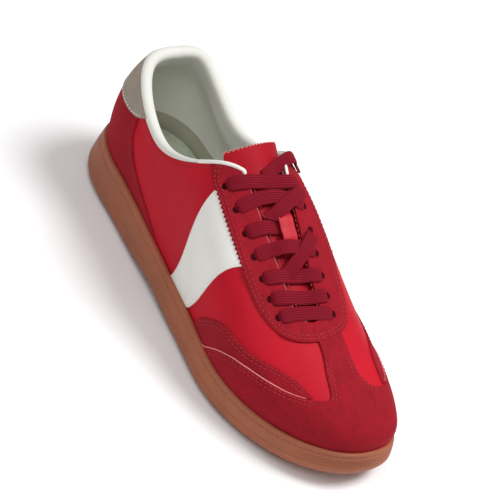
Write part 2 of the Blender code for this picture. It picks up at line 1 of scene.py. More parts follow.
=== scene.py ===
"""Looks of a right tennis shoe: leather and suede upper, flat laces, cupped gum sole.

Frame: +X runs from heel to toe, +Y to the inner side of the foot, +Z up from the floor.
Tables are in millimetres and meshes in metres. A place on the upper is given by its row,
which counts the sections from the heel (0) to the toe (14), and by its height share v,
from the foot of the section (0) to the collar or the middle of the instep (1).
"""

import bmesh
import bpy
import numpy as np
from mathutils import Matrix, Vector
from mathutils.geometry import delaunay_2d_cdt


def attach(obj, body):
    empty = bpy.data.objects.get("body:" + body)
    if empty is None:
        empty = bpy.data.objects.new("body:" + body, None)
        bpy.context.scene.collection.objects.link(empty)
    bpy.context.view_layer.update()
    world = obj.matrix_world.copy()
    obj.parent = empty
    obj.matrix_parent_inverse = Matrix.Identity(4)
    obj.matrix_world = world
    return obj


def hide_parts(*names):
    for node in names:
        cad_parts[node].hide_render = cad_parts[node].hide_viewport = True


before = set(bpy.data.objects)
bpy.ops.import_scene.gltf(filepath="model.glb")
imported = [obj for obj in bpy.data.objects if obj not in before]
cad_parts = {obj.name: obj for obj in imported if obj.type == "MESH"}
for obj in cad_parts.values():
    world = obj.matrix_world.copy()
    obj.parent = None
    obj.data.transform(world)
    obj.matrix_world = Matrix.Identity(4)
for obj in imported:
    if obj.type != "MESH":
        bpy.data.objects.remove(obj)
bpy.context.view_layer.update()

MM = 0.001
OUTER, INNER = 1, -1         # the outer side of the foot is -Y, the inner side +Y
SIDES = (OUTER, INNER)
SIDE_NAMES = ((OUTER, "outer"), (INNER, "inner"))

# -------------------------------------------------------------------- sizes of the last
GAP = 0.3                    # between pieces that touch
RIM_STEP = 0.8               # the upper's rim point lies this far over the cup's rim
CUP_WALL = 2.6
UPPER_WALL = 2.2
COLLAR_PAD_DEPTH = 30.0      # the collar's padding runs out this far below its line
INSOLE_CLEAR = 0.15
SPRING_START, SOLE_FRONT = 72.0, 138.0
TOE_SPRING = 9.0
ARCH_RISE = 2.4
ARCH_BACK, ARCH_FRONT = -56.0, 16.0
PAD_DEPTH = 1.4              # the tread pads stand out this far from the border round them
PAD_INSET = 10.5
HEEL_PAD_FRONT, FOREFOOT_PAD_BACK = -50.0, 10.0
BEVEL_TOP = 5.5              # height of the rounded lower edge of the cup
V_RIM = 0.16                 # share of each section that stands inside the cup
RIM_TILT = np.radians(10)

SECTION_COLUMNS = ("sole_x", "sole_out", "sole_in", "top_x", "top_out", "top_in", "top_z",
                   "lean", "pitch", "low", "high")
SECTIONS = (
    (-138.0, 0.0, 0.0, -121.5, 0.0, 0.0, 90.0, 26, 0, 0.38, 0.34),
    (-129.0, -24.0, 23.0, -118.0, -18.5, 16.0, 89.0, 24, 0, 0.38, 0.34),
    (-108.0, -35.5, 34.0, -105.0, -28.8, 22.0, 83.0, 16, 0, 0.37, 0.34),
    (-80.0, -38.0, 33.5, -83.5, -32.8, 24.5, 73.0, 12, 0, 0.35, 0.32),
    (-52.0, -40.0, 30.5, -61.5, -34.0, 25.5, 71.0, 12, 0, 0.34, 0.32),
    (-27.0, -42.0, 30.5, -41.5, -33.0, 24.5, 81.0, 18, 4, 0.35, 0.32),
    (-7.0, -43.5, 33.0, -28.0, -28.8, 21.0, 91.5, 32, 12, 0.37, 0.34),
    (13.0, -45.0, 37.0, -15.0, -20.3, 10.5, 98.0, 54, 22, 0.40, 0.36),
    (35.0, -47.5, 43.0, 5.0, -8.5, -1.5, 90.4, 82, 27, 0.42, 0.38),
    (58.0, -49.0, 47.8, 38.0, -4.5, -4.5, 72.8, 90, 27, 0.42, 0.40),
    (81.0, -45.0, 49.0, 67.0, -3.0, -3.0, 59.0, 90, 22, 0.42, 0.42),
    (103.0, -36.5, 46.0, 87.0, 1.5, 1.5, 52.3, 90, 17, 0.42, 0.43),
    (122.0, -23.5, 38.0, 101.0, 5.0, 5.0, 48.3, 90, 16, 0.44, 0.44),
    (134.0, -8.0, 27.5, 109.0, 7.5, 7.5, 46.0, 90, 17, 0.48, 0.45),
    (138.0, 9.5, 9.5, 112.0, 9.0, 9.0, 45.1, 90, 18, 0.50, 0.46),
)
TOE_ROW = len(SECTIONS) - 1

HEIGHT_COLUMNS = ("x", "rim", "floor", "flare")
HEIGHTS = (
    (-138.0, 27.0, 18.5, 3.0),
    (-95.0, 26.6, 18.0, 2.6),
    (-50.0, 25.0, 16.5, 2.2),
    (5.0, 21.5, 12.5, 2.0),
    (60.0, 19.0, 10.0, 2.0),
    (110.0, 18.0, 9.5, 1.8),
    (138.0, 17.6, 9.5, 2.0),
)

THROAT_COLUMNS = ("x", "half_gap", "middle")
THROAT = (
    (-20.0, 14.0, -5.0),
    (-10.0, 13.4, -5.0),
    (25.0, 11.0, -5.0),
    (56.0, 8.6, -4.2),
    (70.0, 8.6, -3.0),
)
THROAT_BACK, THROAT_FRONT, THROAT_ROUND = -30.0, 67.5, 9.0


# ----------------------------------------------------------------------------- curves
def spline(knots, values, period=None):
    """Cubic spline through values at knots; closed when a period is given."""
    t = np.asarray(knots, float)
    y = np.asarray(values, float).reshape(len(t), -1)
    if period:
        t = np.append(t, t[0] + period)
        y = np.vstack([y, y[:1]])
    n = len(t)
    h = np.diff(t)
    slope = np.diff(y, axis=0) / h[:, None]
    a = np.zeros((n, n))
    r = np.zeros_like(y)
    for i in range(1, n - 1):
        a[i, i - 1:i + 2] = h[i - 1], 2 * (h[i - 1] + h[i]), h[i]
        r[i] = 6 * (slope[i] - slope[i - 1])
    if period:
        a[0, 0], a[0, -1] = 1, -1
        a[-1, :2] = 2 * h[0], h[0]
        a[-1, -2:] = h[-1], 2 * h[-1]
        r[-1] = 6 * (slope[0] - slope[-1])
    else:
        a[0, 0] = a[-1, -1] = 1
    m = np.linalg.solve(a, r)

    def at(q):
        q = np.asarray(q, float)
        if period:
            q = t[0] + np.mod(q - t[0], period)
        k = np.clip(np.searchsorted(t, q, side="right") - 1, 0, n - 2)
        left, right = (q - t[k])[..., None], (t[k + 1] - q)[..., None]
        w = h[k][..., None]
        out = (m[k] * right ** 3 + m[k + 1] * left ** 3) / (6 * w)
        out += (y[k] / w - m[k] * w / 6) * right + (y[k + 1] / w - m[k + 1] * w / 6) * left
        return out
    return at


def smooth(edge0, edge1, x):
    q = np.clip((np.asarray(x, float) - edge0) / (edge1 - edge0), 0, 1)
    return q * q * (3 - 2 * q)


def bell(x, middle, width):
    return np.exp(-((np.asarray(x, float) - middle) / width) ** 2)


def unit(a):
    return a / np.maximum(np.linalg.norm(a, axis=-1, keepdims=True), 1e-12)


def column(table, names, name):
    return [row[names.index(name)] for row in table]


def run_lengths(points):
    """Length of a line of points up to each of them."""
    return np.concatenate([[0], np.cumsum(np.linalg.norm(np.diff(points, axis=0), axis=1))])


def circle(count):
    turn = np.linspace(0, 2 * np.pi, count, endpoint=False)
    return np.stack([np.cos(turn), np.sin(turn)], axis=1)


def section_loop():
    """Closed splines of the section table: outer side up to the toe, inner side back."""
    get = {name: column(SECTIONS, SECTION_COLUMNS, name) for name in SECTION_COLUMNS}
    steps = []
    for i in range(TOE_ROW):
        ahead = get["sole_x"][i + 1] - get["sole_x"][i]
        out = np.hypot(ahead, get["sole_out"][i + 1] - get["sole_out"][i])
        inner = np.hypot(ahead, get["sole_in"][i + 1] - get["sole_in"][i])
        steps.append((out + inner) / 2)
    knots = np.concatenate([[0], np.cumsum(steps)]) / sum(steps)
    back = range(TOE_ROW - 1, 0, -1)
    loop_knots = list(knots) + [2 - knots[i] for i in back]

    def loop(out_name, in_name):
        values = list(get[out_name]) + [get[in_name][i] for i in back]
        return spline(loop_knots, values, period=2.0)
    sole = [loop("sole_x", "sole_x"), loop("sole_out", "sole_in")]
    top = [loop("top_x", "top_x"), loop("top_out", "top_in"), loop("top_z", "top_z")]
    shape = {name: loop(name, name) for name in ("lean", "pitch", "low", "high")}
    return knots, sole, top, shape


KNOTS, SOLE_LOOP, TOP_LOOP, SHAPE_LOOP = section_loop()
RIDGE_START = KNOTS[9] - 0.25 * (KNOTS[9] - KNOTS[8])
RIM, FLOOR, FLARE = (spline(column(HEIGHTS, HEIGHT_COLUMNS, "x"),
                            column(HEIGHTS, HEIGHT_COLUMNS, name))
                     for name in ("rim", "floor", "flare"))


def loop_place(s, side):
    s = np.asarray(s, float)
    return s if side > 0 else 2 - s


def outline(s, side, inset):
    """Point of the sole's outline, moved inwards, and its outward direction."""
    q = loop_place(s, side)
    point = np.concatenate([f(q) for f in SOLE_LOOP], axis=-1)
    step = 1e-4
    ahead = unit(np.concatenate([f(q + step) - f(q - step) for f in SOLE_LOOP], axis=-1))
    outward = np.stack([ahead[..., 1], -ahead[..., 0]], axis=-1)
    return point - outward * np.asarray(inset, float)[..., None], outward


def spring(x):
    lift = np.clip((np.asarray(x, float) - SPRING_START) / (SOLE_FRONT - SPRING_START), 0, 2)
    return TOE_SPRING * lift ** 2


def arch(x):
    middle, half = (ARCH_BACK + ARCH_FRONT) / 2, (ARCH_FRONT - ARCH_BACK) / 2
    q = np.clip(abs(np.asarray(x, float) - middle) / half, 0, 1)
    return ARCH_RISE * (0.5 + 0.5 * np.cos(np.pi * q))


def rim_height(x):
    return RIM(x)[..., 0] + spring(x)


def floor_height(x):
    return FLOOR(x)[..., 0] + spring(x)


def flare(s, side):
    return FLARE(SOLE_LOOP[0](loop_place(s, side))[..., 0])[..., 0]


# ------------------------------------------------------------------ surface of the upper
def section_controls(s, side):
    """Foot, rim point, two handles and top of the section at s."""
    q = loop_place(s, side)
    plan, outward = outline(s, side, flare(s, side) + CUP_WALL + GAP)
    foot = np.concatenate([plan, (floor_height(plan[..., 0]) + GAP)[..., None]], axis=-1)
    rim = foot.copy()
    rim[..., 2] = rim_height(plan[..., 0]) + RIM_STEP
    top = np.concatenate([f(q) for f in TOP_LOOP], axis=-1)
    mirror = np.concatenate([f(2 - q) for f in TOP_LOOP], axis=-1)
    joined = (np.asarray(s) >= RIDGE_START)[..., None]
    top = np.where(joined, (top + mirror) / 2, top)
    shape = {name: f(q) for name, f in SHAPE_LOOP.items()}
    lean = np.radians(np.minimum(shape["lean"], 90))
    pitch = np.radians(shape["pitch"])
    across, along = outward[..., 1:2], outward[..., 0:1]
    level = unit(np.concatenate([along * np.cos(pitch), across, -along * np.sin(pitch)],
                                axis=-1))
    down = np.zeros_like(level)
    down[..., 2] = -1
    end = level * np.sin(lean) + down * np.cos(lean)
    size = np.linalg.norm(top - rim, axis=-1, keepdims=True)
    start = np.concatenate([outward * np.sin(RIM_TILT), np.full_like(lean, np.cos(RIM_TILT))],
                           axis=-1)
    return foot, rim, rim + start * size * shape["low"], top + end * size * shape["high"], top


def upper_point(s, v, side):
    """Outer surface of the upper at s along the shoe (0 heel, 1 toe) and height share v."""
    foot, rim, low, high, top = section_controls(s, side)
    v = np.asarray(v, float)[..., None]
    straight = foot + (rim - foot) * np.clip(v / V_RIM, 0, 1)
    t = np.clip((v - V_RIM) / (1 - V_RIM), 0, 1)
    arc = ((1 - t) ** 3 * rim + 3 * t * (1 - t) ** 2 * low
           + 3 * t ** 2 * (1 - t) * high + t ** 3 * top)
    return np.where(v < V_RIM, straight, arc)


def slopes(s, v, side):
    """How the surface runs along the shoe and upwards, for one unit of s and of v."""
    ds, dv = 2e-3, 4e-3
    v = np.clip(v, dv, 1 - dv)
    along = (upper_point(s + ds, v, side) - upper_point(s - ds, v, side)) / (2 * ds)
    upward = (upper_point(s, v + dv, side) - upper_point(s, v - dv, side)) / (2 * dv)
    return along, upward


def upper_normal(s, v, side):
    """Outward direction of the surface; on the ridge of the toe both sides have the same."""
    s, v = np.broadcast_arrays(np.asarray(s, float), np.asarray(v, float))
    on_top = ((v > 0.85) & (s >= RIDGE_START))[..., None]

    def facing(way):
        n = unit(np.cross(*slopes(s, v, way)) * way)
        return np.where(on_top & (n[..., 2:] < 0), -n, n)
    ridge = ((v > 0.9999) & (s >= RIDGE_START))[..., None]
    return unit(np.where(ridge, facing(side) + facing(-side), facing(side)))


def row_s(row):
    return np.interp(row, np.arange(TOE_ROW + 1), KNOTS)


def s_row(s):
    return np.interp(s, KNOTS, np.arange(TOE_ROW + 1))


def throat_gap(x):
    """Half width of the throat at x, and the y of its middle line."""
    x = np.asarray(x, float)
    knots = column(THROAT, THROAT_COLUMNS, "x")
    half = np.interp(x, knots, column(THROAT, THROAT_COLUMNS, "half_gap"))
    middle = np.interp(x, knots, column(THROAT, THROAT_COLUMNS, "middle"))
    closing = np.clip((x - THROAT_FRONT + THROAT_ROUND) / THROAT_ROUND, 0, 1)
    half = np.where(x < THROAT_BACK, 0, half * np.sqrt(1 - closing ** 2))
    return half, middle


def edge_v(s, side):
    """Height share at which the section ends: its top, or the edge of the throat."""
    s = np.asarray(s, float)

    def inside_throat(v):
        p = upper_point(s, v, side)
        half, middle = throat_gap(p[..., 0])
        return abs(p[..., 1] - middle) < half
    low, high = np.full(s.shape, 0.4), np.ones(s.shape)
    for _ in range(30):
        mid = (low + high) / 2
        inside = inside_throat(mid)
        low, high = np.where(inside, low, mid), np.where(inside, mid, high)
    return np.where(inside_throat(np.ones(s.shape)), low, 1.0)


def throat_front_s():
    low, high = RIDGE_START, 1.0
    for _ in range(40):
        mid = (low + high) / 2
        if upper_point(mid, 1.0, OUTER)[0] < THROAT_FRONT:
            low = mid
        else:
            high = mid
    return high


THROAT_S = throat_front_s()


def find(plan, side, guess=0.85):
    """s and v of the surface points over places in plan."""
    plan = np.asarray(plan, float)
    s = np.interp(plan[..., 0], column(SECTIONS, SECTION_COLUMNS, "top_x"), KNOTS)
    v = np.full(s.shape, guess)
    step = 1e-4
    for _ in range(30):
        here = upper_point(s, v, side)[..., :2]
        a = (upper_point(s + step, v, side)[..., :2] - here) / step
        b = (here - upper_point(s, v - step, side)[..., :2]) / step
        miss = plan - here
        det = a[..., 0] * b[..., 1] - a[..., 1] * b[..., 0]
        ds = (miss[..., 0] * b[..., 1] - miss[..., 1] * b[..., 0]) / det
        dv = (a[..., 0] * miss[..., 1] - a[..., 1] * miss[..., 0]) / det
        s = s + np.clip(ds, -0.03, 0.03)
        v = np.minimum(v + np.clip(dv, -0.03, 0.03), 1.0)
    return s, v


# ---------------------------------------------------------------------- soft relief
# Soft troughs (positive depth) and ridges (negative) pressed into the upper by wear and
# by the padding under it: a line from one point to another, its depth and half width.
CREASES = (
    # flexing folds across the vamp, on the outer side and over the toes
    ((74, -40, 34), (80, -20, 49), 0.55, 3.2),
    ((64, -44, 34), (67, -27, 50), 0.45, 3.0),
    ((70, -42, 36), (73, -26, 48), -0.35, 3.0),
    ((86, 34, 38), (80, 16, 52), 0.50, 3.2),
    ((74, 42, 36), (70, 22, 53), 0.45, 3.0),
    ((80, 38, 38), (75, 19, 53), -0.30, 3.0),
    # the quarter sinks a little under the padding of the collar
    ((-100, -33, 66), (-76, -35, 60), 0.7, 5.0),
    ((-76, -35, 60), (-52, -36, 60), 0.7, 5.0),
    ((-52, -36, 60), (-34, -34, 68), 0.6, 5.0),
    ((-100, 27, 66), (-70, 29, 60), 0.7, 5.0),
    ((-70, 29, 60), (-40, 28, 66), 0.6, 5.0),
    # pull of the lowest eyelets and of the waist
    ((20, -42, 50), (34, -30, 68), 0.35, 4.5),
    ((44, -44, 44), (50, -28, 60), 0.30, 4.0),
    ((-20, -40, 55), (-24, -36, 76), 0.30, 5.0),
)


def pressed(table, p, fade):
    """How far points stand out over the troughs of a table, which fade along each."""
    out = np.zeros(p.shape[:-1])
    for start, end, depth, width in table:
        a, b = np.array(start, float), np.array(end, float)
        t = np.clip(((p - a) @ (b - a)) / ((b - a) @ (b - a)), 0, 1)
        away = np.linalg.norm(p - a - t[..., None] * (b - a), axis=-1)
        out -= depth * np.exp(-(away / width) ** 2) * fade(np.sin(np.pi * t))
    return out


def relief(p):
    """How far the surface stands out, in mm, at points of the upper."""
    return pressed(CREASES, p, lambda middle: 0.35 + 0.65 * middle ** 0.5)


def skin(s, v, side, lift=0.0):
    """Points of the upper's surface with its soft relief, raised by lift, and normals."""
    p = upper_point(s, v, side)
    n = upper_normal(s, v, side)
    height = np.asarray(lift, float) + relief(p)
    return p + n * height[..., None], n


# ------------------------------------------------------------------------- mesh helpers
def new_piece(name, bm, finish, stands_for=(), sharp_angle=45):
    """Piece of a closed bmesh in metres, with its faces outward."""
    bmesh.ops.recalc_face_normals(bm, faces=bm.faces)
    if bm.calc_volume(signed=True) < 0:
        bmesh.ops.reverse_faces(bm, faces=bm.faces)
    mesh = bpy.data.meshes.new(name)
    bm.to_mesh(mesh)
    bm.free()
    return add_piece(name, mesh, finish, stands_for, sharp_angle)


def put_in_scene(name, data):
    obj = bpy.data.objects.new(name, data)
    bpy.context.scene.collection.objects.link(obj)
    return obj


def add_piece(name, mesh, finish, stands_for=(), sharp_angle=45):
    """Piece of a mesh, riding on the shoe, with its finish, slot and CAD nodes."""
    mesh.shade_smooth()
    mesh.set_sharp_from_angle(angle=np.radians(sharp_angle))
    if not mesh.materials:
        mesh.materials.append(finish)
    obj = put_in_scene(name, mesh)
    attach(obj, "root")
    if stands_for:
        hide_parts(*stands_for)
    return obj


def joined_rings(bm, loops, capped=True):
    """Quads between closed rings of as many vertices each, and a face on either end."""
    n = len(loops[0])
    for a, b in zip(loops, loops[1:]):
        for i in range(n):
            j = (i + 1) % n
            bm.faces.new((a[i], a[j], b[j], b[i]))
    if capped:
        bm.faces.new(loops[0])
        bm.faces.new(loops[-1])


def swept(stations, profile):
    """Closed body that runs a profile through stations of (point, across, up).

    profile(k) gives the points (across, up) of the section at station k.
    """
    bm = bmesh.new()
    loops = []
    for k, (point, across, up) in enumerate(stations):
        loops.append([bm.verts.new((point + across * a + up * b) * MM) for a, b in profile(k)])
    joined_rings(bm, loops)
    return bm


def whole_ring(rows, points_of):
    """Points of a closed ring: the outer side to the toe, the inner side back to the heel."""
    outer, inner = points_of(rows, OUTER), points_of(rows, INNER)
    return np.vstack([outer[:-1], inner[:0:-1]])


def stacked(rings):
    """Closed body of whole rings; its ends are closed by faces from side to side."""
    bm = bmesh.new()
    loops = [[bm.verts.new(p * MM) for p in ring] for ring in rings]
    joined_rings(bm, loops, capped=False)
    for loop in (loops[0], loops[-1]):
        for i in range(len(loop) // 2):
            corners = (loop[i], loop[i + 1], loop[-i - 1], loop[-i] if i else loop[0])
            bm.faces.new(list(dict.fromkeys(corners)))
    return bm


def wrapped_sheet(rows, outside, inside):
    """Closed shell round the shoe between two families of columns.

    outside(s, side) and inside(s, side) give the points of one row, foot to top, for all
    rows at once as arrays (rows, columns, 3). The sides join at the heel, at the toe and,
    in front of the throat, along the ridge.
    """
    rows = np.asarray(rows)
    grids = {side: (outside(rows, side), inside(rows, side)) for side in SIDES}
    last, top_out = len(rows) - 1, grids[OUTER][0].shape[1] - 1
    top_in = grids[OUTER][1].shape[1] - 1
    first_joined = int(np.argmax(rows >= THROAT_S - 1e-6))
    bm = bmesh.new()
    verts = {}

    def vertex(side, layer, i, j):
        top = top_in if layer else top_out
        shared = i in (0, last) or (j == top and i >= first_joined)
        key = (0 if shared else side, layer, i, j)
        if key not in verts:
            verts[key] = bm.verts.new(grids[side][layer][i, j] * MM)
        return verts[key]

    def face(*corners):
        unique = list(dict.fromkeys(corners))
        if len(unique) > 2:
            bm.faces.new(unique)
    for side in SIDES:
        for i in range(last):
            for layer, top in ((0, top_out), (1, top_in)):
                for j in range(top):
                    face(*[vertex(side, layer, *k)
                           for k in ((i, j), (i + 1, j), (i + 1, j + 1), (i, j + 1))])
            face(*[vertex(side, *k) for k in ((0, i, 0), (1, i, 0), (1, i + 1, 0), (0, i + 1, 0))])
            if i < first_joined:
                face(*[vertex(side, *k) for k in ((0, i, top_out), (0, i + 1, top_out),
                                                  (1, i + 1, top_in), (1, i, top_in))])
    bmesh.ops.remove_doubles(bm, verts=bm.verts, dist=0.01 * MM)
    return bm


def fine_rows(per_section, extra=()):
    rows = np.concatenate([np.linspace(a, b, per_section, endpoint=False)
                           for a, b in zip(KNOTS, KNOTS[1:])] + [[1.0], list(extra)])
    rows = np.unique(rows)
    keep = np.concatenate([[True], np.diff(rows) > 0.0009])
    keep[np.isin(rows, [THROAT_S, 1.0])] = True
    return rows[keep]


# --------------------------------------------------------------------- panel outlines
# A panel is cut from runs. Each run is (kind, points) with points as (row, v). "cut" is a
# visible rounded edge, "pinked" a toothed one, and "join" lies on the heel line, the toe
# line or the ridge, where the other side's half meets it.
DOMAIN = np.array([18.0, 80.0])      # about how many mm one row and one unit of v cover
SPACING = 1.3                        # of the points along an outline
PINK_PITCH, PINK_DEPTH = 2.7, 1.1


def on_rows(q, side, lift=0.0):
    q = np.asarray(q, float)
    return skin(row_s(q[..., 0]), q[..., 1], side, lift)


def on_panel(q, side, lift, base):
    """Points and normals at a height over what base says lies under a panel."""
    p, _ = on_rows(q, side)
    return on_rows(q, side, lift + base(p, q, side))


def run_line(points):
    """Dense line in (row, v) through a run's points."""
    points = np.array(points, float)
    if len(points) == 2:
        t = np.linspace(0, 1, 60)[:, None]
        return points[0] * (1 - t) + points[1] * t
    knots = run_lengths(points * DOMAIN)
    line = spline(knots, points)(np.linspace(0, knots[-1], 40 * len(points)))
    line[:, 0] = np.clip(line[:, 0], 0, TOE_ROW)
    line[:, 1] = np.minimum(line[:, 1], 1.0)
    return line


def even(line, side, spacing, count_step=1):
    """The line again with points at an even spacing on the surface."""
    p, _ = on_rows(line, side)
    length = run_lengths(p)
    count = max(2, int(np.ceil(length[-1] / spacing / count_step)) * count_step)
    places = np.linspace(0, length[-1], count + 1)
    return np.stack([np.interp(places, length, line[:, k]) for k in (0, 1)], axis=1)


def moved(q, direction, distance, side):
    """Places q moved over the surface by a distance in a 3-D direction."""
    s = row_s(q[..., 0])
    along, upward = slopes(s, q[..., 1], side)
    rate = np.interp(q[..., 0] + 0.5, np.arange(1, TOE_ROW + 1), np.diff(KNOTS))
    along = along * rate[..., None]
    aa, bb = (along * along).sum(-1), (upward * upward).sum(-1)
    ab = (along * upward).sum(-1)
    pa, pb = (along * direction).sum(-1), (upward * direction).sum(-1)
    det = aa * bb - ab * ab
    step = np.stack([(pa * bb - pb * ab) / det, (pb * aa - pa * ab) / det], axis=-1)
    return q + step * np.asarray(distance)[..., None]


def neighbours(line, closed):
    """The point before and the point after each one, straight on at the ends of a line."""
    if closed:
        return np.roll(line, 1, axis=0), np.roll(line, -1, axis=0)
    return (np.vstack([2 * line[:1] - line[1:2], line[:-1]]),
            np.vstack([line[1:], 2 * line[-1:] - line[-2:-1]]))


def left_of(q, side, closed):
    """Unit 3-D directions to the left of a line of places, widened at its corners."""
    p, n = on_rows(q, side)
    back, ahead = neighbours(p, closed)
    first = unit(np.cross(n, unit(p - back)))
    second = unit(np.cross(n, unit(ahead - p)))
    middle = unit(first + second)
    widen = 1 / np.maximum((middle * first).sum(-1), 0.6)
    middle = middle * widen[:, None]
    test = moved(q, middle, 0.05, side) - q
    ahead_q = neighbours(q, closed)[1] - q
    turn = ahead_q[:, 0] * test[:, 1] - ahead_q[:, 1] * test[:, 0]
    return middle * np.where(np.median(turn) < 0, -1, 1)


def outline_points(runs, side, spacing=SPACING):
    """Closed outline from runs: places, and whether each lies on a join."""
    places, fixed = [], []
    before = runs[-1][0]
    for kind, points in runs:
        line = run_line(points)
        if kind == "pinked":
            q = even(line, side, PINK_PITCH / 2, 2)
            teeth = np.where(np.arange(len(q)) % 2 == 1, -PINK_DEPTH, 0.0)
            q = moved(q, left_of(q, side, False), teeth, side)
        else:
            q = even(line, side, spacing)
        places.append(q[:-1])
        fixed.append(np.full(len(q) - 1, kind == "join"))
        if kind == "join" and before != "join":
            fixed[-1][0] = False
        before = kind
    q, fixed = np.vstack(places), np.concatenate(fixed)
    return q, fixed


def join_lines(q):
    """Whether each place lies on the ridge, and whether it lies at the heel or toe line."""
    ridge = (q[:, 1] > 0.99999) & (row_s(q[:, 0]) >= THROAT_S - 1e-6)
    return ridge, (q[:, 0] < 1e-6) | (q[:, 0] > TOE_ROW - 1e-6)


def on_join(q):
    """Which coordinate of a place is held because it lies on a join line: 0, 1 or none."""
    ridge, end = join_lines(q)
    return np.where(end, 0, np.where(ridge, 1, -1))


def ring_inside(q, fixed, left, distance, side):
    """The outline moved inwards; corners on a join slide along the join."""
    out = moved(q, left, np.where(fixed, 0.0, distance), side)
    held = on_join(q)
    p, _ = on_rows(q, side)
    count = len(q)
    for i in np.flatnonzero((held >= 0) & ~fixed):
        near = [j for j in ((i + 1) % count, (i - 1) % count) if held[j] == held[i]]
        if near:
            along = unit(p[near[0]] - p[i])
            out[i] = moved(q[i:i + 1], along[None], distance, side)[0]
        out[i, held[i]] = q[i, held[i]]
    out[fixed] = q[fixed]
    return out


def contains(loop, points):
    """Which points lie inside a closed loop, in (row, v)."""
    inside = np.zeros(len(points), bool)
    for (x1, y1), (x2, y2) in zip(loop, np.roll(loop, -1, axis=0)):
        crosses = (y1 > points[:, 1]) != (y2 > points[:, 1])
        if abs(y2 - y1) > 1e-15:
            inside ^= crosses & (points[:, 0] < (x2 - x1) * (points[:, 1] - y1) / (y2 - y1) + x1)
    return inside


def away_from(loop, points):
    """Distance in domain mm from each point to the nearest point of a loop."""
    out = np.full(len(points), 1e9)
    scaled, line = points * DOMAIN, loop * DOMAIN
    for a in range(0, len(line), 64):
        near = np.linalg.norm(scaled[:, None] - line[None, a:a + 64], axis=2).min(axis=1)
        out = np.minimum(out, near)
    return out


def filled(loops, mesh_step):
    """Triangles that fill an outline with holes: places and index triples."""
    low, high = loops[0].min(axis=0), loops[0].max(axis=0)
    steps = mesh_step / DOMAIN
    grid = np.stack(np.meshgrid(np.arange(low[0], high[0], steps[0]),
                                np.arange(low[1], high[1], steps[1])), axis=-1).reshape(-1, 2)
    grid = grid[contains(loops[0], grid)]
    for loop in loops[1:]:
        grid = grid[~contains(loop, grid)]
    for loop in loops:
        grid = grid[away_from(loop, grid) > 0.55 * mesh_step]
    points = np.vstack(loops + [grid])
    edges, start = [], 0
    for loop in loops:
        edges += [(start + i, start + (i + 1) % len(loop)) for i in range(len(loop))]
        start += len(loop)
    made = delaunay_2d_cdt([Vector(p) for p in points * DOMAIN], edges, [], 0, 1e-7, True)
    source = [ids[0] if ids else None for ids in made[3]]
    triangles = [tuple(source[i] for i in face) for face in made[2]]
    triangles = [t for t in triangles if None not in t]
    centres = points[np.array(triangles)].mean(axis=1)
    keep = contains(loops[0], centres)
    for loop in loops[1:]:
        keep &= ~contains(loop, centres)
    return points, [t for t, k in zip(triangles, keep) if k]


# Cross-section of a panel's cut edge: distance inside the outline, and height as a share
# of the panel's thickness (below 0 it is sunk into the leather under it).
CUT_EDGE = ((0.0, -0.45), (0.0, 0.55), (0.12, 0.86), (0.42, 1.0))


def flat_lift(p, q, side):
    return np.zeros(len(p))


def make_panel(name, halves, thickness, finish, base=flat_lift, holes=None,
               mesh_step=2.2, edge=CUT_EDGE):
    """Panel of leather on the upper, cut to its outline, with rounded edges.

    halves gives the runs of each side, holes the closed lines of its holes by side, and
    base how far the panel is lifted over others under it.
    """
    bm = bmesh.new()
    welded = []
    for side, runs in halves.items():
        loops = [outline_points(runs, side)]
        loops += [(q, np.zeros(len(q), bool)) for q in (holes or {}).get(side, [])]
        ring_sets = []
        for q, fixed in loops:
            area = (q[:, 0] * np.roll(q[:, 1], -1) - q[:, 1] * np.roll(q[:, 0], -1)).sum()
            if (area > 0) != (len(ring_sets) == 0):
                q = q[::-1]
                fixed = fixed[::-1]
            left = left_of(q, side, True)
            ring_sets.append([ring_inside(q, fixed, left, d, side) for d, _ in edge])
        points, triangles = filled([rings[-1] for rings in ring_sets], mesh_step)

        def raised(q, share):
            p, n = on_rows(q, side)
            height = np.full(len(p), share)
            if share >= 0:
                height = base(p, q, side) + thickness * share
            return (p + n * height[:, None]) * MM
        top = [bm.verts.new(p) for p in raised(points, 1.0)]
        bottom = [bm.verts.new(p) for p in raised(points, edge[0][1])]
        for layer_verts in (top, bottom):
            welded += [layer_verts[i] for i in np.flatnonzero(on_join(points) >= 0)]
        start = 0
        for rings in ring_sets:
            count = len(rings[0])
            walls = [bottom[start:start + count]]
            for ring, (_, share) in zip(rings[:-1], edge[:-1]):
                walls.append([bm.verts.new(p) for p in raised(ring, share)])
                welded += [walls[-1][i] for i in np.flatnonzero(on_join(ring) >= 0)]
            walls.append(top[start:start + count])
            open_side = np.zeros(count, bool)
            for line in join_lines(rings[0]):
                open_side |= line & np.roll(line, -1)
            for a, b in zip(walls, walls[1:]):
                for i in np.flatnonzero(~open_side):
                    j = (i + 1) % count
                    bm.faces.new((a[i], a[j], b[j], b[i]))
            start += count
        for a, b, c in triangles:
            bm.faces.new((top[a], top[b], top[c]))
            bm.faces.new((bottom[a], bottom[c], bottom[b]))
    loose = [v for v in bm.verts if not v.link_faces]
    bmesh.ops.remove_doubles(bm, verts=[v for v in welded if v.link_faces], dist=0.02 * MM)
    bmesh.ops.delete(bm, geom=[v for v in loose if v.is_valid], context="VERTS")
    return new_piece(name, bm, finish)


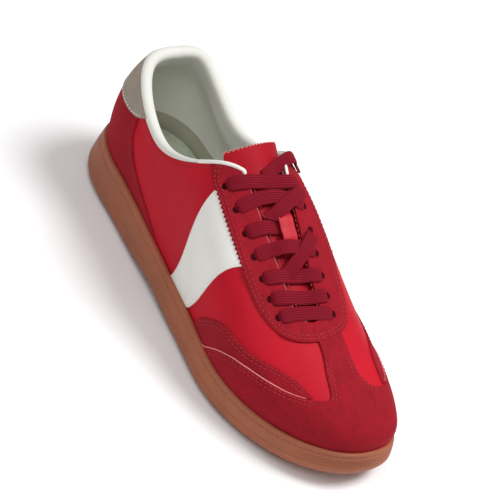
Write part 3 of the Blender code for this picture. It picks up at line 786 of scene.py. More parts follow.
# ------------------------------------------------------------------------ node repeats
def repeat_tree(name, sizes, make_shape):
    """Tree that puts one shape on every point of a guide, turned by its two directions.

    sizes are the named sizes and their usual values in mm; make_shape(tree, given) makes
    the shape from them with +X along the guide's "along" and +Z along its "out".
    """
    tree = bpy.data.node_groups.new(name, "GeometryNodeTree")
    tree.is_modifier = True
    tree.interface.new_socket("Guide", in_out="INPUT", socket_type="NodeSocketGeometry")
    for label, value in sizes.items():
        socket = tree.interface.new_socket(label, in_out="INPUT", socket_type="NodeSocketFloat")
        socket.default_value = value * MM
    tree.interface.new_socket("Finish", in_out="INPUT", socket_type="NodeSocketMaterial")
    tree.interface.new_socket("Made", in_out="OUTPUT", socket_type="NodeSocketGeometry")
    given = tree.nodes.new("NodeGroupInput")
    shape = make_shape(tree, given)
    turn = None
    for axis, pivot, attribute in (("Z", "AUTO", "out"), ("X", "Z", "along")):
        read = node(tree, "GeometryNodeInputNamedAttribute", {"Name": attribute},
                    data_type="FLOAT_VECTOR")
        align = node(tree, "FunctionNodeAlignRotationToVector",
                     {"Vector": read.outputs["Attribute"]}, axis=axis, pivot_axis=pivot)
        if turn:
            tree.links.new(turn, align.inputs["Rotation"])
        turn = align.outputs["Rotation"]
    placed = node(tree, "GeometryNodeInstanceOnPoints",
                  {"Points": given.outputs["Guide"], "Instance": shape, "Rotation": turn})
    real = node(tree, "GeometryNodeRealizeInstances", {"Geometry": placed.outputs[0]})
    painted = node(tree, "GeometryNodeSetMaterial",
                   {"Geometry": real.outputs[0], "Material": given.outputs["Finish"]})
    out = tree.nodes.new("NodeGroupOutput")
    tree.links.new(painted.outputs[0], out.inputs["Made"])
    return tree


def make_repeats(name, tree, sizes, guide, material):
    """Piece made by a repeat tree on a guide of (points, along, out) in millimetres."""
    points, along, out = (np.vstack(part) for part in zip(*guide))
    mesh = bpy.data.meshes.new(name + "_guide")
    mesh.from_pydata((points * MM).tolist(), [], [])
    for label, values in (("along", along), ("out", out)):
        attribute = mesh.attributes.new(label, "FLOAT_VECTOR", "POINT")
        attribute.data.foreach_set("vector", values.astype(np.float32).ravel())
    holder = put_in_scene(name + "_guide", mesh)
    modifier = holder.modifiers.new("repeats", "NODES")
    modifier.node_group = tree
    for socket in tree.interface.items_tree:
        if socket.in_out == "INPUT" and socket.name in sizes:
            modifier[socket.identifier] = sizes[socket.name] * MM
        if socket.in_out == "INPUT" and socket.name == "Finish":
            modifier[socket.identifier] = material
    bpy.context.view_layer.update()
    evaluated = holder.evaluated_get(bpy.context.evaluated_depsgraph_get())
    made = bpy.data.meshes.new_from_object(evaluated)
    made.name = name
    bpy.data.objects.remove(holder)
    return add_piece(name, made, material)


# ---------------------------------------------------------------------------- finishes
def new_material(name):
    """A new material with its node tree and shader."""
    m = bpy.data.materials.new(name)
    m.use_nodes = True
    tree = m.node_tree
    return m, tree, tree.nodes["Principled BSDF"]


def node(tree, kind, links=None, **settings):
    """A node with its settings; numbers and colours of inputs go in by name in links."""
    made = tree.nodes.new(kind)
    for key, value in settings.items():
        setattr(made, key, value)
    for key, value in (links or {}).items():
        socket = made.inputs[key]
        if isinstance(value, bpy.types.NodeSocket):
            tree.links.new(value, socket)
        else:
            socket.default_value = value
    return made


def relief_group(name, numbers):
    """Shader group with float inputs, which gives a fine relief and a tone."""
    tree = bpy.data.node_groups.new(name, "ShaderNodeTree")
    for label, value in numbers:
        socket = tree.interface.new_socket(label, in_out="INPUT", socket_type="NodeSocketFloat")
        socket.default_value = value
    for label in ("Height", "Tone"):
        tree.interface.new_socket(label, in_out="OUTPUT", socket_type="NodeSocketFloat")
    given = tree.nodes.new("NodeGroupInput").outputs

    def give(height, tone):
        out = tree.nodes.new("NodeGroupOutput")
        tree.links.new(height, out.inputs["Height"])
        tree.links.new(tone, out.inputs["Tone"])
        return tree
    return tree, given, own_place(tree), give


def own_place(tree, kind="Object"):
    return node(tree, "ShaderNodeTexCoord").outputs[kind]


def calculated(tree, operation, a, b=0.0):
    return node(tree, "ShaderNodeMath", {0: a, 1: b}, operation=operation).outputs[0]


def mixed_of(tree, a, share_a, b, share_b):
    """Sum of two values, each multiplied by its share."""
    return calculated(tree, "ADD", calculated(tree, "MULTIPLY", a, share_a),
                      calculated(tree, "MULTIPLY", b, share_b))


def noise(tree, place, scale, detail, roughness=0.5, distortion=0.0):
    return node(tree, "ShaderNodeTexNoise", {
        "Vector": place, "Scale": scale, "Detail": detail, "Roughness": roughness,
        "Distortion": distortion}).outputs["Fac"]


def give_roughness(tree, shader, tone, low, high):
    rough = node(tree, "ShaderNodeMapRange", {"Value": tone, "From Min": 0.3, "From Max": 0.7,
                                              "To Min": low, "To Max": high})
    tree.links.new(rough.outputs["Result"], shader.inputs["Roughness"])


def give_bump(tree, shader, height, depth, strength=1.0):
    """Small relief of a height, depth millimetres deep."""
    bump = node(tree, "ShaderNodeBump", {"Height": height, "Strength": strength,
                                         "Distance": depth * MM})
    tree.links.new(bump.outputs["Normal"], shader.inputs["Normal"])


def set_inputs(shader, **values):
    """Constants of a shader, by the names of its inputs with _ for a space."""
    for name, value in values.items():
        shader.inputs[name.replace("_", " ")].default_value = value


def leather_grain():
    """Fine pebbled grain with pores, and a slow change of tone."""
    tree, given, place, give = relief_group("leather_grain", (("Scale", 900.0), ("Cloud", 22.0)))
    cells = node(tree, "ShaderNodeTexVoronoi", {"Vector": place, "Scale": given["Scale"]},
                 feature="SMOOTH_F1")
    fine = noise(tree, place, calculated(tree, "MULTIPLY", given["Scale"], 2.7), 3.0, 0.6)
    pores = calculated(tree, "MULTIPLY", fine, 0.45)
    return give(calculated(tree, "SUBTRACT", pores, cells.outputs["Distance"]),
                noise(tree, place, given["Cloud"], 4.0, 0.55))


def suede_nap():
    """Short brushed nap: fine fibres, and lighter and darker strokes of the brush."""
    tree, given, place, give = relief_group("suede_nap", (("Scale", 1500.0), ("Strokes", 60.0)))
    brushed = node(tree, "ShaderNodeMapping", {"Vector": place, "Scale": (0.45, 1.0, 1.0),
                                               "Rotation": (0.0, 0.3, 0.5)}).outputs[0]
    fibre = noise(tree, brushed, given["Scale"], 5.0, 0.75)
    strokes = noise(tree, brushed, given["Strokes"], 5.0, 0.6, 0.6)
    return give(fibre, mixed_of(tree, strokes, 0.65, fibre, 0.35))


def cloth_weave():
    """Plain weave of two thread directions with a little fuzz."""
    tree, given, place, give = relief_group("cloth_weave", (("Threads", 1300.0),
                                                            ("Fuzz", 2500.0)))
    axis = node(tree, "ShaderNodeSeparateXYZ", {0: place})
    waves = [calculated(tree, "SINE", calculated(tree, "MULTIPLY", axis.outputs[name],
                                                 given["Threads"])) for name in "XYZ"]
    weave = calculated(tree, "MULTIPLY", waves[0], calculated(tree, "ADD", waves[1], waves[2]))
    fuzz = noise(tree, place, given["Fuzz"], 2.0)
    return give(calculated(tree, "ADD", weave, fuzz), noise(tree, place, 35.0, 3.0))


def shade(colour, factor):
    return tuple(min(1.0, c * factor) for c in colour)


def toned(tree, tone, colour, darker, lighter, low=0.36, high=0.66):
    """Colour from a tone: from darker through plain to lighter, as factors of the colour."""
    dark, plain, light = shade(colour, darker), colour, shade(colour, lighter)
    ramp = node(tree, "ShaderNodeValToRGB", {"Fac": tone})
    stops = ramp.color_ramp.elements
    stops[0].position, stops[0].color = low, (*dark, 1)
    stops[1].position, stops[1].color = high, (*light, 1)
    middle = stops.new((low + high) / 2)
    middle.color = (*plain, 1)
    return ramp.outputs["Color"]


def surface(name, group, values, colour, roughness, depth, sheen=0.0, sheen_tint=1.0,
            contrast=0.16, gloss=0.5):
    """A finish whose colour, roughness and small relief come from one group."""
    m, tree, shader = new_material(name)
    made = node(tree, "ShaderNodeGroup", values, node_tree=group)
    tone = made.outputs["Tone"]
    tree.links.new(toned(tree, tone, colour, 1 - contrast, 1 + contrast),
                   shader.inputs["Base Color"])
    give_roughness(tree, shader, tone, roughness - 0.08, roughness + 0.08)
    give_bump(tree, shader, made.outputs["Height"], depth)
    set_inputs(shader, Specular_IOR_Level=gloss)
    if sheen:
        set_inputs(shader, Sheen_Weight=sheen, Sheen_Roughness=0.45,
                   Sheen_Tint=(*shade(colour, sheen_tint), 1))
    return m


# Below this line the collar lining is painted a darker grey: its height at the heel, where it
# starts to rise towards the toe, and how steeply.
DARK_LINING_LEVEL, DARK_LEVEL_RISE_FROM, DARK_LEVEL_RISE = 0.0335, -0.090, 0.18


def collar_lining_finish(grain):
    """Off-white lining of the collar, painted a darker grey below a line."""
    m, tree, shader = new_material("collar_lining")
    axis = node(tree, "ShaderNodeSeparateXYZ", {0: own_place(tree)})
    made = node(tree, "ShaderNodeGroup", {"Scale": 1100.0}, node_tree=grain)
    pale = toned(tree, made.outputs["Tone"], LINING_WHITE, 0.96, 1.04)
    grey = toned(tree, made.outputs["Tone"], LOWER_LINING, 1.0, 1.1)
    from_rise = calculated(tree, "SUBTRACT", axis.outputs["X"], DARK_LEVEL_RISE_FROM)
    rise = calculated(tree, "MULTIPLY", calculated(tree, "MAXIMUM", from_rise), DARK_LEVEL_RISE)
    level = calculated(tree, "ADD", DARK_LINING_LEVEL, rise)
    below = calculated(tree, "SUBTRACT", level, axis.outputs["Z"])
    share = node(tree, "ShaderNodeMapRange", {"Value": below, "From Min": 0.0, "From Max": 0.0008})
    mixed = node(tree, "ShaderNodeMix", {0: share.outputs["Result"], 6: pale, 7: grey},
                 data_type="RGBA")
    tree.links.new(mixed.outputs[2], shader.inputs["Base Color"])
    give_bump(tree, shader, made.outputs["Height"], 0.045)
    set_inputs(shader, Roughness=0.66, Specular_IOR_Level=0.3)
    return m


def gum_finish():
    """Moulded gum rubber: amber brown, duller and darker where it is scuffed."""
    m, tree, shader = new_material("gum_rubber")
    place = own_place(tree)
    cloud, speck = noise(tree, place, 28.0, 5.0, 0.6), noise(tree, place, 900.0, 3.0)
    tree.links.new(toned(tree, mixed_of(tree, cloud, 0.8, speck, 0.2), GUM, 0.86, 1.12),
                   shader.inputs["Base Color"])
    give_roughness(tree, shader, cloud, 0.46, 0.62)
    give_bump(tree, shader, speck, 0.05, 0.7)
    set_inputs(shader, Specular_IOR_Level=0.3, Subsurface_Weight=0.04,
               Subsurface_Radius=(0.004, 0.002, 0.001))
    return m


def lace_finish():
    """Flat crimson lace: lengthwise ribs in the mesh, and braided threads along them."""
    m, tree, shader = new_material("crimson_lace")
    axis = node(tree, "ShaderNodeSeparateXYZ", {0: own_place(tree, "UV")})
    ribs = calculated(tree, "MULTIPLY", axis.outputs["X"], 2 * np.pi * LACE_RIBS)
    along = calculated(tree, "MULTIPLY", axis.outputs["Y"], 2 * np.pi / LACE_THREAD)
    valley = calculated(tree, "COSINE", ribs)
    threads = calculated(tree, "SINE", calculated(tree, "ADD", along, valley))
    tone = calculated(tree, "ADD", mixed_of(tree, valley, 0.30, threads, 0.16), 0.5)
    tree.links.new(toned(tree, tone, CRIMSON, 0.55, 1.35, 0.12, 0.9),
                   shader.inputs["Base Color"])
    give_bump(tree, shader, threads, 0.09, 0.8)
    set_inputs(shader, Roughness=0.82, Specular_IOR_Level=0.15, Sheen_Weight=0.35,
               Sheen_Tint=(*shade(CRIMSON, 2.2), 1))
    return m


# Colours of the materials, as linear values.
BRIGHT_RED = (0.49, 0.010, 0.023)
DEEP_RED = (0.285, 0.009, 0.018)
CRIMSON = (0.20, 0.004, 0.015)
OFF_WHITE = (0.80, 0.79, 0.745)
LINING_WHITE = (0.71, 0.705, 0.655)
BEIGE = (0.315, 0.265, 0.215)
INSOLE_GREY = (0.44, 0.48, 0.38)
# darker grey painted on the collar lining below its dark line
LOWER_LINING = (0.40, 0.39, 0.31)
GUM = (0.345, 0.108, 0.052)
RAW_EDGE = (0.74, 0.24, 0.24)
# painted shade for the insides of the eyelet holes
EYELET_SHADE = (0.035, 0.004, 0.006)
LACE_RIBS = 6                # lengthwise ribs across the lace
LACE_THREAD = 0.0011         # length of one turn of its braid, in metres


# Leathers, suedes, cloth and threads: relief, its sizes, colour, roughness, depth of the
# relief in millimetres, and what else differs from the usual.
FINE_GRAIN = {"Scale": 1500.0}
SMOOTH_RED = {"contrast": 0.06, "gloss": 0.06}
FINISHES = {
    "red_leather": ("grain", FINE_GRAIN, BRIGHT_RED, 0.50, 0.045, SMOOTH_RED),
    "tongue_leather": ("grain", FINE_GRAIN, shade(BRIGHT_RED, 0.72), 0.50, 0.045, SMOOTH_RED),
    "keeper_leather": ("grain", FINE_GRAIN, shade(BRIGHT_RED, 0.98), 0.50, 0.04,
                       {"contrast": 0.06, "gloss": 0.2}),
    "red_suede": ("nap", {"Strokes": 220.0}, DEEP_RED, 0.9, 0.10,
                  {"sheen": 0.35, "sheen_tint": 2.0, "contrast": 0.18, "gloss": 0.12}),
    "beige_suede": ("nap", {"Strokes": 160.0}, BEIGE, 0.86, 0.10,
                    {"sheen": 0.25, "sheen_tint": 1.2, "contrast": 0.10, "gloss": 0.2}),
    "off_white_leather": ("grain", {"Scale": 1400.0}, OFF_WHITE, 0.52, 0.05,
                          {"contrast": 0.04, "gloss": 0.4}),
    "lining": ("grain", {"Scale": 1100.0}, LINING_WHITE, 0.62, 0.045,
               {"contrast": 0.04, "gloss": 0.3}),
    "insole_cloth": ("weave", {}, INSOLE_GREY, 0.92, 0.14, {"contrast": 0.14}),
    "raw_edge": ("nap", {}, RAW_EDGE, 0.85, 0.05, {"contrast": 0.12}),
    "soft_raw_edge": ("nap", {}, shade(RAW_EDGE, 0.62), 0.85, 0.05, {"contrast": 0.12}),
    # painted shade inside the eyelet holes
    "eyelet_shade": ("nap", {}, EYELET_SHADE, 0.95, 0.05, {"contrast": 0.1, "gloss": 0.06}),
    "red_thread": ("nap", {}, shade(DEEP_RED, 1.25), 0.7, 0.03, {}),
    "white_thread": ("nap", {}, OFF_WHITE, 0.65, 0.03, {"contrast": 0.05}),
    "gum_thread": ("nap", {}, shade(GUM, 1.2), 0.7, 0.03, {}),
}


def make_finishes():
    reliefs = {"grain": leather_grain(), "nap": suede_nap(), "weave": cloth_weave()}
    made = {name: surface(name, reliefs[kind], *values, **others)
            for name, (kind, *values, others) in FINISHES.items()}
    made["collar_lining"] = collar_lining_finish(reliefs["grain"])
    made["gum"] = gum_finish()
    made["lace"] = lace_finish()
    return made


finish = make_finishes()


# ------------------------------------------------------------------- shell and lining
LEATHER = 1.0                # the red leather; the rest of the wall is foam and lining
BINDING_DROP = 1.9           # the leather ends this far under the collar line
COLLAR_END = (6.75, 7.2)     # rows over which the padded collar runs out at the throat
LINING_BACK = 1.4            # the lining ends this far behind the edge of the throat
TAB_LIP = 0.45               # how far the roll swells out over the edge of the heel tab
TAB_LIP_END = (2.75, 3.4)    # rows over which this lip runs out
HEEL_DENT = 0.55             # of the roll at its seam in the middle of the heel
HEEL_DENT_WIDTH = 0.09       # in rows
ROLL_THINNER = 0.52          # what the roll loses of its size towards the throat
ROLL_ROWS = (3.0, 6.2)       # rows over which it gets thinner
VISIBLE_PAD = 4.0            # how much the collar's padding swells the wall
PAD_FULL_DEPTH = 9.0         # it is full down to this far below the collar line
PAD_NONE = 0.36              # size of the roll at which the padding would be flat
FOLD_DEPTHS = (2, 10)        # the folds of the lining start between these depths
LINING_DROP = 1.6            # its inner face ends this far under the collar line
# Section of the rolled collar from its lip outside to the wall inside: height above the
# collar line, and distance outwards.
COLLAR_ROLL = ((-2.2, -0.6), (-2.5, 0.25), (-2.0, 0.75), (-1.0, 0.95), (0.1, 0.8),
               (1.1, 0.2), (1.8, -0.8), (2.2, -2.1), (2.1, -3.4), (1.5, -4.7), (0.4, -5.7))
# Folds of the lining: from, to, depth and half width, as for the creases outside.
LINING_FOLDS = (
    ((-118, 8, 84), (-108, 17, 58), 0.8, 2.6),
    ((-112, 14, 86), (-100, 22, 60), -0.5, 3.0),
    ((-104, 18, 82), (-92, 24, 58), 0.6, 2.8),
    ((-92, 21, 78), (-84, 26, 52), 0.5, 3.2),
    ((-118, -10, 84), (-108, -20, 60), 0.6, 2.8),
    ((-104, -22, 80), (-94, -28, 58), 0.5, 3.0),
    ((-60, 22, 70), (-50, 25, 48), 0.4, 3.4),
    ((-124, -2, 92), (-116, -2, 58), 1.0, 1.6),
)


def collar_share(s):
    """1 along the padded collar, 0 along the throat and in front of it."""
    return 1 - smooth(*COLLAR_END, s_row(s))


def roll_size(s):
    """How full the collar's roll is: full round the heel, thin towards the throat."""
    return 1 - ROLL_THINNER * smooth(*ROLL_ROWS, s_row(s))


IN_CUP, LOWEST_V = 3, 0.03   # columns of the upper's sheets in the cup, and the lowest


def columns_to(s, side, drop, count, back=0.0):
    """Height shares of the columns of each row.

    They end drop under the collar line, and back from the edge of the throat.
    """
    end = edge_v(s, side)
    _, upward = slopes(s, end, side)
    open_throat = (s < THROAT_S - 1e-6) * (1 - collar_share(s))
    short = drop * collar_share(s) + back * open_throat
    end = end - short / np.linalg.norm(upward, axis=-1)
    low = np.linspace(LOWEST_V, V_RIM, IN_CUP, endpoint=False)
    above = V_RIM + (end[:, None] - V_RIM) * np.linspace(0, 1, count)
    return np.concatenate([np.broadcast_to(low, (len(s), IN_CUP)), above], axis=1)


def layer(s, v, side, depth):
    grid_s = np.broadcast_to(s[:, None], v.shape)
    return skin(grid_s, v, side, -np.asarray(depth))[0]


def wall_depth(s, v, side):
    """Depth of the lining's face under the outer surface."""
    end = edge_v(s, side)
    top = upper_point(s, end, side)
    here = upper_point(np.broadcast_to(s[:, None], v.shape), v, side)
    below = np.linalg.norm(top[:, None] - here, axis=-1)
    full = collar_share(s) * (roll_size(s) - PAD_NONE) / (1 - PAD_NONE)
    pad = VISIBLE_PAD * full[:, None] * (1 - smooth(PAD_FULL_DEPTH, COLLAR_PAD_DEPTH, below))
    folds = pressed(LINING_FOLDS, here, lambda middle: middle)
    return UPPER_WALL + pad - folds * smooth(*FOLD_DEPTHS, below)


def make_upper_shell():
    rows = fine_rows(8, [THROAT_S])

    def face(depth):
        return lambda s, side: layer(s, columns_to(s, side, BINDING_DROP, 30), side, depth)
    bm = wrapped_sheet(rows, face(0.0), face(LEATHER))
    return new_piece("upper_shell", bm, finish["red_leather"], ["upper"])


def make_collar_lining():
    rows = fine_rows(8, [THROAT_S])
    roll = np.array(COLLAR_ROLL)
    flat = np.linspace(-LEATHER - 0.1, -UPPER_WALL, len(roll))
    lip_share = 1 - smooth(2, 7, np.arange(len(roll)))

    def outside(s, side):
        v = columns_to(s, side, BINDING_DROP + 0.5, 8, LINING_BACK)
        hidden = layer(s, v, side, LEATHER + 0.1)
        edge = edge_v(s, side)
        base = upper_point(s, edge, side)
        normal = upper_normal(s, edge, side)
        _, upward = slopes(s, edge, side)
        upward = unit(upward)
        share = collar_share(s)[:, None]
        joined = (s >= THROAT_S - 1e-6)[:, None]
        full = roll_size(s)[:, None]
        lip = TAB_LIP * (1 - smooth(*TAB_LIP_END, s_row(s)))[:, None] * lip_share
        dent = HEEL_DENT * bell(s_row(s), 0, HEEL_DENT_WIDTH)[:, None]
        up = (roll[None, :, 0] - dent) * share * full - LINING_BACK * (1 - share) * ~joined
        out = ((roll[None, :, 1] * full + lip) * share
               + np.where(joined, flat[0], flat[None]) * (1 - share))
        rolled = base[:, None] + upward[:, None] * up[..., None] + normal[:, None] * out[..., None]
        return np.concatenate([hidden, rolled], axis=1)

    def inside(s, side):
        v = columns_to(s, side, LINING_DROP, 26, LINING_BACK)
        return layer(s, v, side, wall_depth(s, v, side))
    bm = wrapped_sheet(rows, outside, inside)
    return new_piece("collar_lining", bm, finish["collar_lining"], sharp_angle=75)


BINDING_START = 5.3          # the collar's binding, from under the roll to its rounded end
BINDING_END = {OUTER: 7.28, INNER: 7.46}
BINDING_HALF, BINDING_THICK = 1.15, 0.85
BINDING_LIFT, BINDING_SUNK = 0.75, 0.5   # over the leather in front, and under it at the start
BINDING_TIP = 1.6            # length of its rounded end


def make_binding(side, name):
    """Narrow folded binding along the front of the collar, ending on the eyestay."""
    place = np.linspace(BINDING_START, BINDING_END[side], 60)
    s = row_s(place)
    v = edge_v(s, side)
    base, n = upper_point(s, v, side), upper_normal(s, v, side)
    _, upward = slopes(s, v, side)
    upward = unit(upward)
    lift = (BINDING_LIFT * smooth(BINDING_START, 6.2, place)
            - BINDING_SUNK * (1 - smooth(BINDING_START, 6.0, place)))
    p = base + n * lift[:, None] - upward * 0.25
    ahead = unit(np.gradient(p, axis=0))
    up = unit(np.cross(ahead, n))
    length = run_lengths(p)
    to_end = length[-1] - length
    rounded = np.sqrt(np.clip(1 - (1 - np.clip(to_end / BINDING_TIP, 0, 1)) ** 2, 0.02, 1))
    rounded = rounded * np.sqrt(smooth(-0.5, 4.0, length))
    section = circle(14) * (BINDING_HALF, BINDING_THICK)
    bm = swept(list(zip(p, up, n)), lambda k: section * rounded[k])
    return new_piece(f"collar_binding_{name}", bm, finish["off_white_leather"])


# ---------------------------------------------------------------------------- panels
SUEDE, BAND, TAB = 0.9, 0.8, 0.9
FOOT_V = 0.10                # panels run down into the cup to this height share
COUNTER_UNDER = 0.6          # how far the tab and backstay lie over the heel counter
RIDGE_OVERLAY = 10.52        # row at which the eyestay's front edge crosses the ridge
THROAT_ROW = float(s_row(THROAT_S))


def throat_run(side, start_row):
    """Edge of the throat from the collar's corner to its front end."""
    places = start_row + (THROAT_ROW - start_row) * np.sin(np.linspace(0, np.pi / 2, 60))
    v = edge_v(row_s(places), side)
    v[-1] = 1.0
    return np.stack([places, v], axis=1)


EYESTAY_EDGE = {
    OUTER: ((10.20, 0.826), (9.80, 0.722), (9.41, 0.676), (8.99, 0.656), (8.58, 0.659),
            (8.03, 0.688), (7.21, 0.790), (6.55, 0.890)),
    INNER: ((10.22, 0.826), (9.84, 0.722), (9.45, 0.672), (9.00, 0.652), (8.55, 0.652),
            (8.00, 0.684), (7.25, 0.775), (6.55, 0.882)),
}
EYESTAY_TOP = 5.95           # row at which its outer edge meets the collar
THROAT_CORNER = 7.0          # row of the collar's corner at the throat
PINKED_ROWS = (8.62, 7.04)   # the edge over the side band is pinked
FROM_CORNER = 0.15           # no point of an edge lies nearer to these rows


def eyestay_half(side):
    start, end = PINKED_ROWS
    edge = EYESTAY_EDGE[side]
    front = [p for p in edge if p[0] > start + FROM_CORNER]
    middle = [p for p in edge if start - FROM_CORNER > p[0] > end + FROM_CORNER]
    last = [p for p in edge if p[0] < end - FROM_CORNER]
    corners = [(row, float(eyestay_line(side, row))) for row in PINKED_ROWS]
    collar_corner = (THROAT_CORNER, float(edge_v(row_s(THROAT_CORNER), side)))
    return [
        ("cut", throat_run(side, THROAT_CORNER)),
        ("join", ((THROAT_ROW, 1.0), (RIDGE_OVERLAY, 1.0))),
        ("cut", ((RIDGE_OVERLAY, 1.0), *front, corners[0])),
        ("pinked", (corners[0], *middle, corners[1])),
        ("cut", (corners[1], *last, (EYESTAY_TOP, 1.0))),
        ("cut", ((EYESTAY_TOP, 1.0), (6.6, 1.0), collar_corner)),
    ]


def eyestay_line(side, row):
    """Height share of the eyestay's outer edge at a row."""
    table = np.array([(EYESTAY_TOP, 1.0)] + list(EYESTAY_EDGE[side])[::-1] + [(RIDGE_OVERLAY, 1.0)])
    return spline(table[:, 0], table[:, 1])(row)[..., 0]


STEM = {
    OUTER: ((11.66, 0.640), (11.80, 0.700), (11.62, 0.770), (11.20, 0.850), (10.75, 0.930),
            (10.30, 0.968)),
    INNER: ((11.62, 0.640), (11.80, 0.725), (11.80, 0.800), (11.62, 0.848), (11.20, 0.858),
            (10.70, 0.848), (10.20, 0.830)),
}
TOE_EDGE = ((8.14, 0.135), (8.72, 0.241), (9.51, 0.359), (10.38, 0.449), (10.97, 0.510),
            (11.40, 0.575))
STEM_BACK = 10.15            # the stem runs on under the eyestay to this row


def toe_half(side):
    stem = STEM[side]
    return [
        ("cut", (*TOE_EDGE, *stem)),
        ("cut", (stem[-1], (STEM_BACK, 1.0))),
        ("join", ((STEM_BACK, 1.0), (TOE_ROW, 1.0))),
        ("join", ((TOE_ROW, 1.0), (TOE_ROW, FOOT_V))),
        ("cut", ((TOE_ROW, FOOT_V), (11.0, FOOT_V), (8.06, FOOT_V))),
        ("cut", ((8.06, FOOT_V), TOE_EDGE[0])),
    ]


MUDGUARD_EDGE = ((7.39, FOOT_V), (7.72, 0.225), (8.24, 0.312), (8.85, 0.404), (9.41, 0.449),
                 (9.99, 0.522), (10.52, 0.596), (11.05, 0.615), (11.42, 0.600))


def mudguard_half(side):
    under = ((11.42, 0.600), (11.30, 0.545), (10.97, 0.480), (10.38, 0.425), (9.51, 0.335),
             (8.78, 0.215), (8.20, FOOT_V))
    return [
        ("cut", MUDGUARD_EDGE),
        ("cut", under),
        ("cut", ((8.20, FOOT_V), MUDGUARD_EDGE[0])),
    ]


TAB_FOOT, TAB_TOP = 0.615, 0.985     # of the heel tab on the heel line, as height shares
TAB_EDGE = ((0.0, TAB_FOOT), (0.9, 0.630), (1.6, 0.660), (2.1, 0.710), (2.48, 0.778),
            (2.74, 0.865), (2.98, TAB_TOP))


def tab_half(side):
    """The heel tab ends under the lip of the rolled collar."""
    return [
        ("cut", TAB_EDGE),
        ("cut", (TAB_EDGE[-1], (1.5, TAB_TOP), (0.0, TAB_TOP))),
        ("join", ((0.0, TAB_TOP), TAB_EDGE[0])),
    ]


COUNTER_EDGE = ((2.62, 0.860), (2.80, 0.640), (3.10, 0.480), (3.65, 0.340), (4.35, 0.215),
                (4.86, 0.140))


def counter_half(side):
    return [
        ("cut", ((0.0, 0.68), (1.6, 0.705), (2.2, 0.770), COUNTER_EDGE[0])),
        ("cut", COUNTER_EDGE),
        ("cut", (COUNTER_EDGE[-1], (4.92, FOOT_V))),
        ("cut", ((4.92, FOOT_V), (2.5, FOOT_V), (0.0, FOOT_V))),
        ("join", ((0.0, FOOT_V), (0.0, 0.68))),
    ]


BACKSTAY_EDGE = ((0.30, FOOT_V), (0.27, 0.4), (0.26, TAB_FOOT))


def backstay_half(side):
    return [
        ("cut", ((0.0, FOOT_V), BACKSTAY_EDGE[0])),
        ("cut", BACKSTAY_EDGE),
        ("cut", (BACKSTAY_EDGE[-1], (0.0, TAB_FOOT))),
        ("join", ((0.0, TAB_FOOT), (0.0, FOOT_V))),
    ]


# The plain saddle band: from under the eyestay down to the sole, leaning back.
BAND_ROWS = (7.04, 7.55, 8.10, 8.62)
# How far it runs on under the eyestay at these rows, as height shares.
BAND_UNDER = (0.020, 0.030, 0.040, 0.040)
BAND_FOOT = (5.75, 6.85)
BAND_WAIST = ((6.42, 0.45), (7.72, 0.37))


def band_top(side):
    return [(row, float(eyestay_line(side, row)) + under)
            for row, under in zip(BAND_ROWS, BAND_UNDER)]


def band_sides(side):
    """Its back edge, down to the sole, and its front edge, up from it."""
    top = band_top(side)
    return ((top[0], BAND_WAIST[0], (BAND_FOOT[0], FOOT_V)),
            ((BAND_FOOT[1], FOOT_V), BAND_WAIST[1], top[-1]))


def band_half(side):
    back, front = band_sides(side)
    return [("cut", band_top(side)[::-1]), ("cut", back), ("cut", (back[-1], front[0])),
            ("cut", front)]


# How far panels lie over others under them: over the end of the stem, over the end of the
# side band and over the mudguard strips.
STEM_LIFT, BAND_LIFT, STRIP_LIFT = 0.75, 0.72, 0.5


def over_stem_and_band(p, q, side):
    """The eyestay lies over the stem at its front, and over the end of the side band."""
    stem = STEM_LIFT * smooth(66.0, 70.0, p[:, 0])
    inside = q[:, 1] - eyestay_line(side, q[:, 0])
    along = smooth(6.75, 7.1, q[:, 0]) * (1 - smooth(8.6, 8.95, q[:, 0]))
    return stem + BAND_LIFT * along * (1 - smooth(0.045, 0.10, inside))


def over_counter(p, q, side):
    return np.full(len(p), COUNTER_UNDER)


def over_mudguard(p, q, side):
    """The toe overlay lies over the lower edge of the mudguard strips."""
    return STRIP_LIFT * (1 - smooth(80.0, 100.0, p[:, 0]))


# ----------------------------------------------------------------------- eyelet places
EYELET_ROWS = 7              # row 1 is the top one
EYELETS_FRONT, EYELETS_BACK = 62.6, -8.4
EYELET_BOW = 3.5
EYELET_HALF_FRONT, EYELET_HALF_BACK = 17.0, 22.5
EYELET_SHIFT, EYELET_SKEW = 1.5, 1.9
EYELET_RADIUS = 2.0
EYELET_DISH = ((1.05, -0.2), (1.05, 0.14), (0.6, 0.10), (0.25, 0.06))  # radius share, height


def eyelet(row, side):
    """Place in plan of an eyelet, or of a place between two rows of eyelets."""
    share = (EYELET_ROWS - row) / (EYELET_ROWS - 1)
    x = EYELETS_FRONT + (EYELETS_BACK - EYELETS_FRONT) * share - side * EYELET_SKEW
    x += EYELET_BOW * 4 * share * (1 - share)
    half = EYELET_HALF_FRONT + (EYELET_HALF_BACK - EYELET_HALF_FRONT) * share
    return np.array([x, throat_gap(x)[1] - EYELET_SHIFT - side * half])


def round_place(row, side, radius, count=20):
    """Circle on the surface round an eyelet, as places (row, v)."""
    s, v = find(eyelet(row, side)[None], side)
    middle = np.array([s_row(s)[0], v[0]])
    along, upward = slopes(s, v, side)
    a = unit(along)[0]
    n = upper_normal(s, v, side)[0]
    b = np.cross(n, a)
    direction = circle(count) @ np.stack([a, b])
    return moved(np.repeat(middle[None], count, axis=0), direction, radius, side), middle


def make_eyelet_depths():
    """Painted shade inside each punched eyelet: a dark shallow dish under the overlay's hole."""
    bm = bmesh.new()
    for side in SIDES:
        for row in range(1, EYELET_ROWS + 1):
            loops = []
            for share, lift in EYELET_DISH:
                q, middle = round_place(row, side, EYELET_RADIUS * share)
                loops.append([bm.verts.new(p * MM) for p in on_rows(q, side, lift)[0]])
            joined_rings(bm, loops)
    return new_piece("eyelet_depths", bm, finish["eyelet_shade"])


